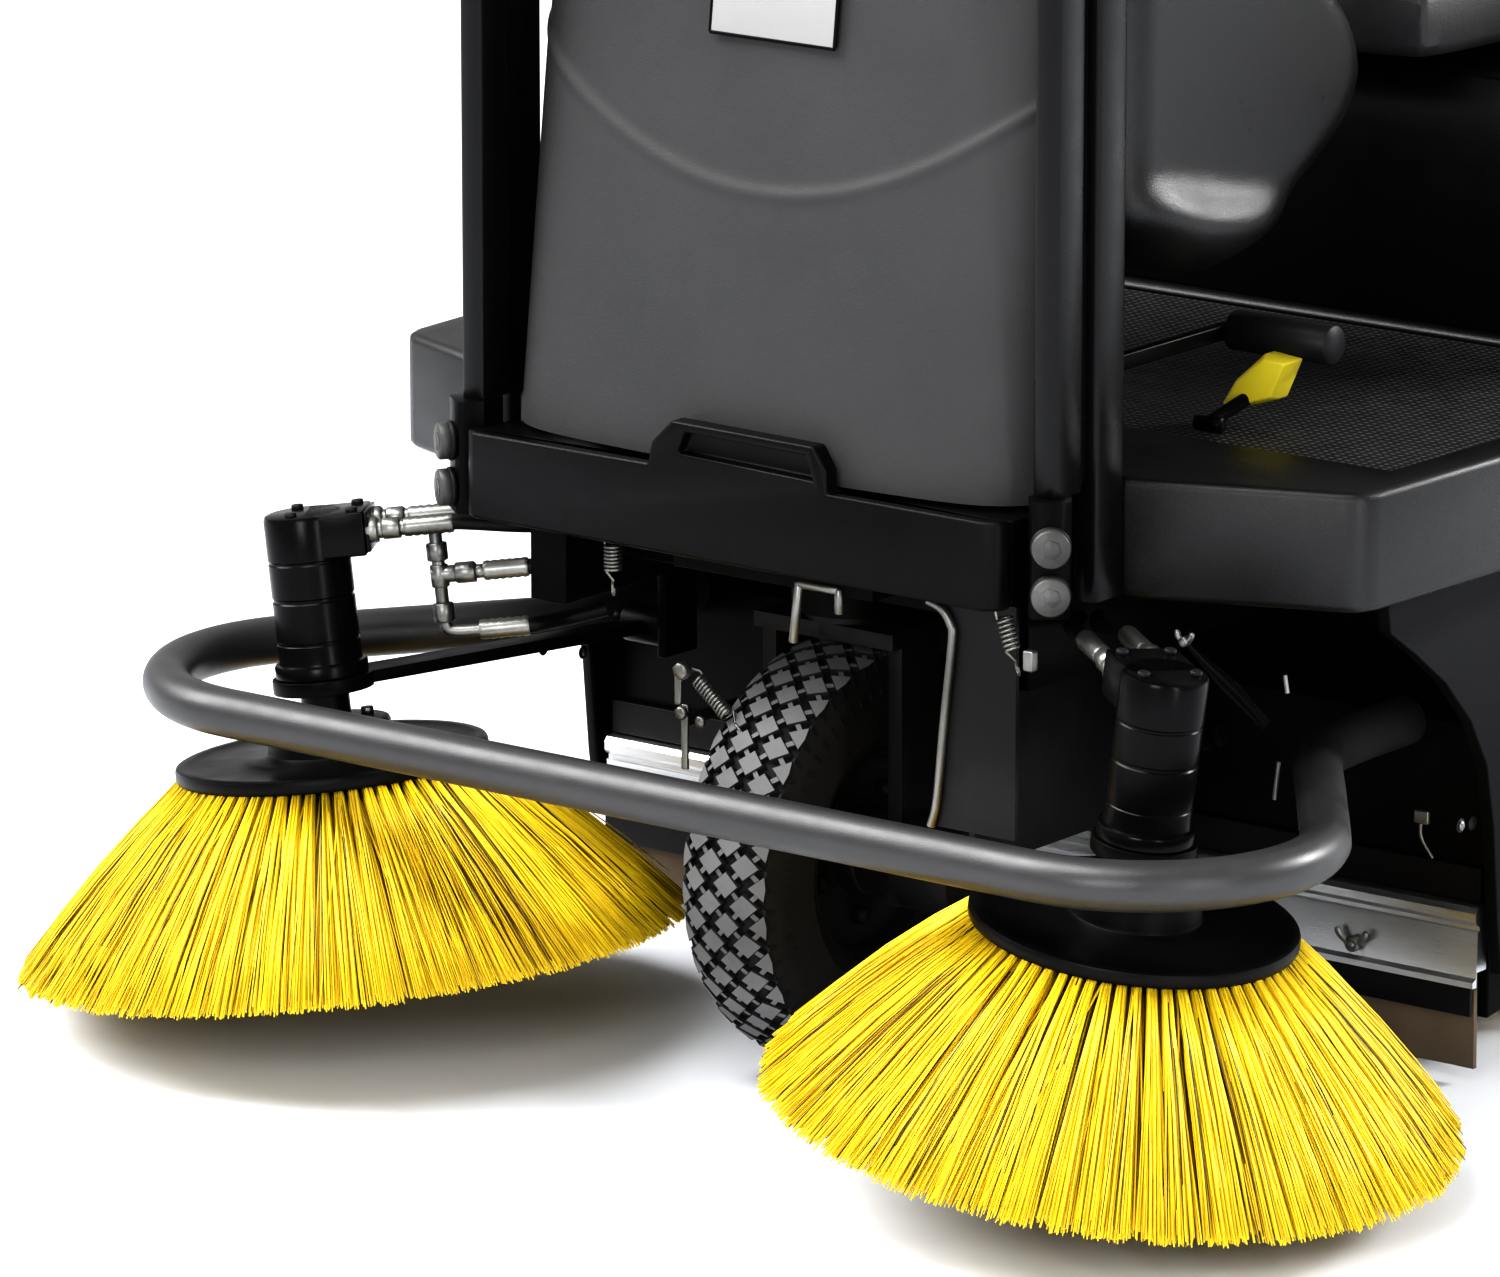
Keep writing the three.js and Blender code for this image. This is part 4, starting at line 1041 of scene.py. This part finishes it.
def wall_ribs():
    """Short ribs from the shoulder down both walls of the tyre."""
    half, around = TYRE["half"], 66
    blocks = []
    for face in (-1, 1):
        for index in range(around):
            turn = 2 * math.pi * (index + 0.25) / around
            spread = 3.6 / TYRE["radius"]
            layers = []
            for lift, shrink in ((-1.0, 1.0), (2.2, 0.8)):
                ring = []
                for radius, side in ((168, -1), (168, 1), (200, 1), (200, -1)):
                    slope = 0 if radius < 180 else -5.0
                    angle = turn + side * spread * shrink
                    across = face * (half - 1.6 + slope + lift)
                    ring.append(polar(radius, angle, across))
                layers.append(ring if face > 0 else ring[::-1])
            blocks.append(frustum(layers))
    return blocks_object("ribs", blocks, machine_paint(), tyre_wall())


def wheel_rim(node, x, y, body):
    seat = TYRE["rim"] - 0.4
    half = [
        (seat, 36), (seat - 3, 38), (97, 32), (93, 14), (84, 9), (50, 9), (44, 12), (42, 32), (40, 34),
        (15.4, 34),
    ]
    profile = [(radius, -across) for radius, across in reversed(half)] + half
    pieces = [lathe("dish", profile + profile[:1], machine_paint(), 72)]
    for index in range(5):
        turn = 2 * math.pi * index / 5
        for face in (-1, 1):
            foot = polar(66, turn, face * 8.5)
            pieces.append(bar("wheel_nut", foot, foot + mm(0, 0, face * 11), 9, machine_paint(), 6, 1.2))
    place(moved(joined(f"{node}_detailed", pieces), wheel_frame(x, y)), body, "iron", node)


# ---- Front cover and pod --------------------------------------------------------------------
def cover_face(x, z):
    """The y of the grey cover's front face, with its raised, curved crease."""
    share = x / COVER["half"]
    y = COVER["y"] + 22 * share ** 2 + 40 * abs(share) ** 12 + COVER["lean"] * (z - COVER["bottom"])
    over = z - (884 + 80 * (x / 250) ** 2)
    return y - 3.4 * math.exp(-(over / 7.0) ** 2) + 2.4 / (1 + math.exp(-over / 5))


def front_cover():
    columns, rows = 120, 150
    vertices = []
    for row in range(rows + 1):
        z = COVER["bottom"] + (COVER["top"] - COVER["bottom"]) * row / rows
        for column in range(columns + 1):
            x = COVER["half"] * math.sin(math.pi / 2 * (2 * column / columns - 1))
            vertices.append(at(x, cover_face(x, z), z))
    faces = grid_faces(rows + 1, columns + 1, closed=False)
    cover = mesh_object("front_cover_skin", vertices, faces, cover_moulding())
    thick = cover.modifiers.new("wall", "SOLIDIFY")
    thick.thickness = COVER["wall"] * MM * 0.6
    thick.offset = -1
    apply_modifiers(cover)
    cover.data.shade_smooth()
    cover.data.set_sharp_from_angle(angle=math.radians(40))
    place(cover, "chassis", "cover", "front_cover")
    refined("cover_plate", 1.2, pale_plate(), name="blank_plate")
    corners = ((-68.5, 1029.5), (78.5, 1029.5), (78.5, 1086.5), (-68.5, 1086.5), (-68.5, 1029.5))
    line = [at(x, cover_face(x, z) - 5.6, z) for x, z in corners]
    sides = [bar("side", start, end, 2.0, black_frame(), 10) for start, end in zip(line, line[1:])]
    place(joined("blank_plate_border", sides), "chassis", "frame")


def dashboard():
    """The instrument pod with its rounded ends, and the blank gauges and switches on its slope."""
    outline = [
        (262, 885), (275, 846), (308, 812), (358, 784), (425, 778), (508, 793), (593, 833), (650, 868),
        (690, 905), (700, 950), (660, 1020), (560, 1090), (420, 1140), (310, 1172), (262, 1172),
    ]
    pod = pillow("pod", rounded_outline(outline), -299, 299, 60, satin_moulding(), 10)
    for vertex in pod.data.vertices:
        y = (vertex.co.y - AXLE_LINE) / MM
        ledge = 862 - 0.2245 * (y - 253)
        share = max(0.0, min(1.0, (vertex.co.z / MM - ledge) / 55))
        rise = share * share * (3 - 2 * share)
        if abs(vertex.co.x) > 0.2:
            vertex.co.x -= math.copysign(22 * MM * rise, vertex.co.x)
    column = bar("steering_column", at(0, 480, 1010), at(0, 534, 1103), 34, black_moulding(), 32, 4)
    place(joined("instrument_pod", [pod, column]), "chassis", "moulding", "dashboard")
    slope = Matrix.Translation(at(0, 490, 1117)) @ Matrix.Rotation(math.radians(-20), 4, "X")
    pieces = []
    for x, radius in ((-110, 34), (-30, 24), (40, 24)):
        centre, up = mm(x, 0, 0), mm(0, 0, 1)
        pieces.append(bar("gauge_ring", centre - up * 6, centre + up * 4, radius, zinc(), 40, 2))
        pieces.append(bar("gauge_face", centre, centre + up * 4.6, radius - 4, hose_rubber(), 40, 0.5))
    for x in (110, 145, 180, 215):
        centre = mm(x, 0, 0)
        pieces.append(bar("switch", centre - up * 4, centre + up * 9, 9, hose_rubber(), 24, 2))
    place(moved(joined("gauges", pieces), slope), "chassis", "zinc")


def steering_wheel():
    spin = Matrix.Translation(at(0, 590, 1200)) @ Matrix.Rotation(math.radians(-30), 4, "X")
    pieces = [lathe("rim", ring_profile(182, 13.6), grained_vinyl(), 96)]
    hub = [(0, -30), (36, -30), (40, -26), (40, 6), (36, 11), (28, 13), (0, 13)]
    pieces.append(lathe("hub", hub, black_moulding(), 48))
    pieces.append(bar("shaft", mm(0, 0, -107), mm(0, 0, -20), 16, machine_paint(), 24))
    for angle in (90, 210, 330):
        turn = math.radians(angle)
        line = [polar(reach, turn, rise) for reach, rise in ((20, -6), (80, -8), (178, 0))]
        pieces.append(tube("spoke", smooth_path(line, 6), 9.5, black_moulding(), 20))
    whole = moved(joined("steering_wheel_detailed", pieces), spin)
    place(whole, "steering_wheel", "vinyl", "steering_wheel")


def brake_pedal():
    """A faceted yellow pad on a black stem."""
    front = [(281, 656), (291, 648), (344, 666), (362, 706), (328, 709), (294, 678)]
    face = [(287, 656), (292, 652), (342, 669), (358, 704), (334, 706), (303, 680)]
    vertices = [at(x, y, z) for y, ring in ((444, front), (428, front), (416, face)) for x, z in ring]
    faces = grid_faces(3, len(front)) + cap_faces(3, len(front))
    pad = soften(tidy_mesh(mesh_object("pad", vertices, faces, yellow_plastic()), 20), 2.0, angle=15)
    place(pad, "brake_pedal", "yellow", "brake_pedal")
    stem = bar("stem", at(312, 424, 664), at(306, 366, 649), 7, black_frame(), 16)
    pivot = bar("pivot", at(292, 366, 648), at(322, 366, 648), 8, black_frame(), 20, 1)
    place(joined("brake_pedal_stem", [stem, pivot]), "brake_pedal", "yellow")


def pedal_tube():
    """The round tube above the brake pedal and the bracket that carries it from the column."""
    tube_piece = bar("cross_tube", at(270, 459, 719), at(387, 459, 719), 19.5, machine_paint(), 40, 1.5)
    bracket = box("tube_bracket", (262, 255, 712), (274, 470, 728), black_frame(), 2)
    place(joined("pedal_cross_tube", [tube_piece, bracket]), "chassis", "frame")


# ---- Flap bar, flap and main roller ---------------------------------------------------------
def flap_bar():
    """A drawn aluminium bar with a rolled top, a groove and a lower lip, clamped by wing nuts."""
    section = [
        (515.6, 112), (499, 112), (499, 97), (492, 97), (492, 103), (498, 106), (500, 149),
        (499, 152), (503, 153), (503, 157), (499, 159), (496, 163), (496, 171), (500, 176),
        (511, 178), (515.6, 176),
    ]
    half = 536
    profile = prism("flap_bar_profile", section, lambda point: at(-half, *point),
                    lambda point: at(half, *point), brushed_aluminium(), 28)
    place(profile, "chassis", "aluminium", "flap_bar")
    pieces = []
    for x in (-395, -130, 130, 395):
        pieces.append(bar("stud", at(x, 503, 118), at(x, 487, 118), 4, zinc(), 16, 0.6))
        pieces.append(bar("boss", at(x, 500, 118), at(x, 490, 118), 8, zinc(), 20, 1))
        for way in (-1, 1):
            wing = [at(x + way * 6, 494, 119), at(x + way * 14, 492, 126), at(x + way * 17, 491, 133)]
            pieces.append(tube("wing", smooth_path(wing, 4), [3.5] * 8 + [2.5], zinc(), 12))
    place(joined("wing_nuts", pieces), "chassis", "zinc")
    # Two black strips run across the housing, one above the bar and one below its lip.
    upper = box("upper_dark_strip", (-534, 506, 180), (534, 515, 214), hose_rubber(), 1)
    lower = box("lower_dark_strip", (-533, 492.5, 68), (533, 497, 96.5), hose_rubber(), 1)
    place(joined("dark_strips", [upper, lower]), "chassis", "rubber")


def front_flap(seed):
    """The rubber flap, wavy along its length and worn at its lower edge."""
    rng = random.Random(seed)
    columns, rows, thick = 160, 8, 5.5
    wave = [rng.uniform(-1, 1) for _ in range(columns + 1)]
    front, back = [], []
    for row in range(rows + 1):
        for column in range(columns + 1):
            x = -533 + 1066 * column / columns
            hang = 1 - row / rows
            bottom = 13 + 3 * abs(wave[column // 6 * 6])
            z = bottom + (111 - bottom) * row / rows
            y = 499.5 + hang * (2.2 * math.sin(x / 37) + 1.2 * math.sin(x / 13 + 2))
            front.append(at(x, y, z))
            back.append(at(x, y + thick, z))
    width = columns + 1
    size = len(front)
    faces = grid_faces(rows + 1, width, closed=False)
    faces += [tuple(reversed(face)) for face in grid_faces(rows + 1, width, closed=False, first=size)]
    rim = [*range(width)] + [row * width + columns for row in range(1, rows + 1)]
    rim += [rows * width + column for column in range(columns - 1, -1, -1)]
    rim += [row * width for row in range(rows - 1, 0, -1)]
    for index, corner in enumerate(rim):
        after = rim[(index + 1) % len(rim)]
        faces.append((corner, corner + size, after + size, after))
    flap = tidy_mesh(mesh_object("front_flap_wavy", front + back, faces, flap_rubber()), 50)
    place(flap, "chassis", "rubber", "front_flap")


def main_roller(seed):
    """Tufts in chevron rows round the roller's core."""
    rng = np.random.default_rng(seed)
    rows, per_row, per_tuft = 16, 62, 5
    x = np.tile(np.repeat(np.linspace(-486, 486, per_row), per_tuft), rows)
    row = np.repeat(np.arange(rows), per_row * per_tuft)
    turn = 2 * math.pi * row / rows + np.abs(x) / 486 * 0.9
    x = x + rng.normal(0, 2.5, len(x))
    turn = turn + rng.normal(0, 0.03, len(x))
    inner, outer = ROLLER["core"] + 1, ROLLER["radius"] - np.abs(rng.normal(0, 2.0, len(x)))
    spread = x + rng.normal(0, 4.0, len(x))
    roots = np.stack([x, inner * np.cos(turn), inner * np.sin(turn)], 1) * MM
    tips = np.stack([np.clip(spread, -493, 493), outer * np.cos(turn), outer * np.sin(turn)], 1) * MM
    widths = rng.uniform(1.4, 2.0, len(x)) * MM
    tones = rng.uniform(0.15, 1.0, len(x))
    straight = np.zeros_like(roots)
    piece = strands("roller_tufts", roots, tips, straight, widths, tones, bristle_yellow(), 3, 3)
    moved(piece, Matrix.Translation(at(0, ROLLER["y"], ROLLER["z"])))
    place(piece, "main_roller", "bristle", "roller_bristles")


# ---- Seat -----------------------------------------------------------------------------------
def pad_mesh(name, half_x, half_y, low, high, crown):
    """A crowned pad: a rounded plan whose top swells to the middle, in its own frame."""
    steps = 40
    grid, faces = {}, []
    vertices = []
    for level in (0, 1):
        for i in range(steps + 1):
            for j in range(steps + 1):
                u, v = 2 * i / steps - 1, 2 * j / steps - 1
                x = half_x * u * math.sqrt(1 - v * v * 0.12)
                y = half_y * v * math.sqrt(1 - u * u * 0.12)
                edge = (1 - u ** 6) * (1 - v ** 6)
                channel = 7 * math.exp(-((abs(u) - 0.62) * half_x / 6) ** 2) * (1 - v ** 8)
                top = high - crown + crown * edge - channel * edge
                z = top if level else low + 12 * (1 - edge)
                grid[level, i, j] = len(vertices)
                vertices.append(mm(x, y, z))
    for i in range(steps):
        for j in range(steps):
            top = [grid[1, i, j], grid[1, i + 1, j], grid[1, i + 1, j + 1], grid[1, i, j + 1]]
            bottom = [grid[0, i, j], grid[0, i, j + 1], grid[0, i + 1, j + 1], grid[0, i + 1, j]]
            faces += [top, bottom]
    rim = [(i, 0) for i in range(steps)] + [(steps, j) for j in range(steps)]
    rim += [(i, steps) for i in range(steps, 0, -1)] + [(0, j) for j in range(steps, 0, -1)]
    for index, (i, j) in enumerate(rim):
        k, m = rim[(index + 1) % len(rim)]
        faces.append([grid[0, i, j], grid[0, k, m], grid[1, k, m], grid[1, i, j]])
    pad = tidy_mesh(mesh_object(name, vertices, faces, grained_vinyl()), 80)
    smooth = pad.modifiers.new("rounding", "SUBSURF")
    smooth.levels = smooth.render_levels = 1
    apply_modifiers(pad)
    pad.data.shade_smooth()
    return pad


def seam(name, half_x, half_y, z):
    """Piping round a pad, where its top and side panels meet."""
    line = []
    steps, squareness = 96, 0.28
    for step in range(steps + 1):
        turn = 2 * math.pi * step / steps
        c, s = math.cos(turn), math.sin(turn)
        x = half_x * math.copysign(abs(c) ** squareness, c)
        y = half_y * math.copysign(abs(s) ** squareness, s)
        line.append(mm(x, y, z))
    return tube(name, line, 3.2, hose_rubber(), 10)


def seat():
    """Cushion and backrest, each a pad with piping round its edge."""
    ground = Matrix.Translation(at(0, 1042.5, 906))
    cushion = moved(pad_mesh("seat_cushion_pad", 234, 200, 0, 103, 26), ground)
    place(cushion, "seat", "vinyl", "seat_cushion")
    place(moved(seam("cushion_piping", 228, 194, 74), ground), "seat", "vinyl")
    lean = Matrix.Translation(at(0, 1360, 1247)) @ Matrix.Rotation(math.radians(84), 4, "X")
    back = moved(pad_mesh("seat_back_pad", 229, 226, 2, 78, 22), lean)
    place(back, "seat_back", "vinyl", "seat_back")
    place(moved(seam("back_piping", 223, 220, 52), lean), "seat_back", "vinyl")


# ---- Everything else ------------------------------------------------------------------------
PLAIN = {
    "frame": black_frame, "moulding": black_moulding, "cover": cover_moulding, "yellow": yellow_plastic,
    "tyre": tyre_rubber, "rubber": flap_rubber, "mat": mat_rubber, "zinc": zinc,
    "aluminium": brushed_aluminium, "motor": motor_paint, "iron": machine_paint, "vinyl": grained_vinyl,
    "bristle": bristle_yellow,
}
EDGE = {
    "footboard": 12, "front_belt": 4, "column_cover": 14, "seat_console": 14, "roof_panel": 8,
    "hopper": 12, "engine_hood": 10, "guard_hoop_rear": 3, "side_panel_left": 3, "side_panel_right": 3,
    "hydraulic_tank": 6, "fuel_tank": 10, "guard_post_left": 2, "guard_post_right": 2,
    "roller_housing": 2.5, "engine": 5,
}
SMALL_EDGE = 1.5
SPECIAL = {
    "footboard": satin_moulding, "guard_post_left": post_paint, "guard_post_right": post_paint,
}


def hood_louvres():
    black = black_moulding()
    rows = range(1440, 1560, 18)
    slats = [box("slat", (-430, y, 1034), (430, y + 7, 1037), black, 1) for y in rows]
    place(joined("hood_slats", slats), "engine_hood", "moulding")


def hopper_ribs():
    black = black_moulding()
    columns = range(-400, 401, 160)
    ribs = [box("rib", (x - 9, 2106, 655), (x + 9, 2114, 905), black, 3) for x in columns]
    ribs.append(box("handle", (-120, 2106, 690), (120, 2116, 705), machine_paint(), 3))
    place(joined("hopper_back_ribs", ribs), "hopper", "moulding")


def refine_the_rest():
    """Every CAD node that no detailed piece stands for gets rounded edges and its slot's finish."""
    for part in frame["record"]["subparts"]:
        node, slot = part["node"], part["material_slot"]
        if not frame["nodes"][node].hide_render:
            material = SPECIAL.get(node, PLAIN[slot])()
            refined(node, EDGE.get(node, SMALL_EDGE), material)


def main():
    make_camera()
    make_studio()
    for seed, (label, side) in enumerate(SIDES):
        side_brush_bristles(label, side, seed + 11)
        brush_disc(label, side)
        brush_motor(label, side)
        fittings(label, side)
        foot_bolts(label, side)
        panel_screws(label, side)
    for tyre_node, rim_node, x, y, body in WHEELS:
        tyre(tyre_node, x, y, body)
        wheel_rim(rim_node, x, y, body)
    bumper()
    cheek_plate()
    small_ironwork()
    brake_lever()
    corner_strap()
    front_cover()
    dashboard()
    steering_wheel()
    brake_pedal()
    pedal_tube()
    flap_bar()
    front_flap(5)
    main_roller(7)
    seat()
    hood_louvres()
    hopper_ribs()
    refine_the_rest()


main()
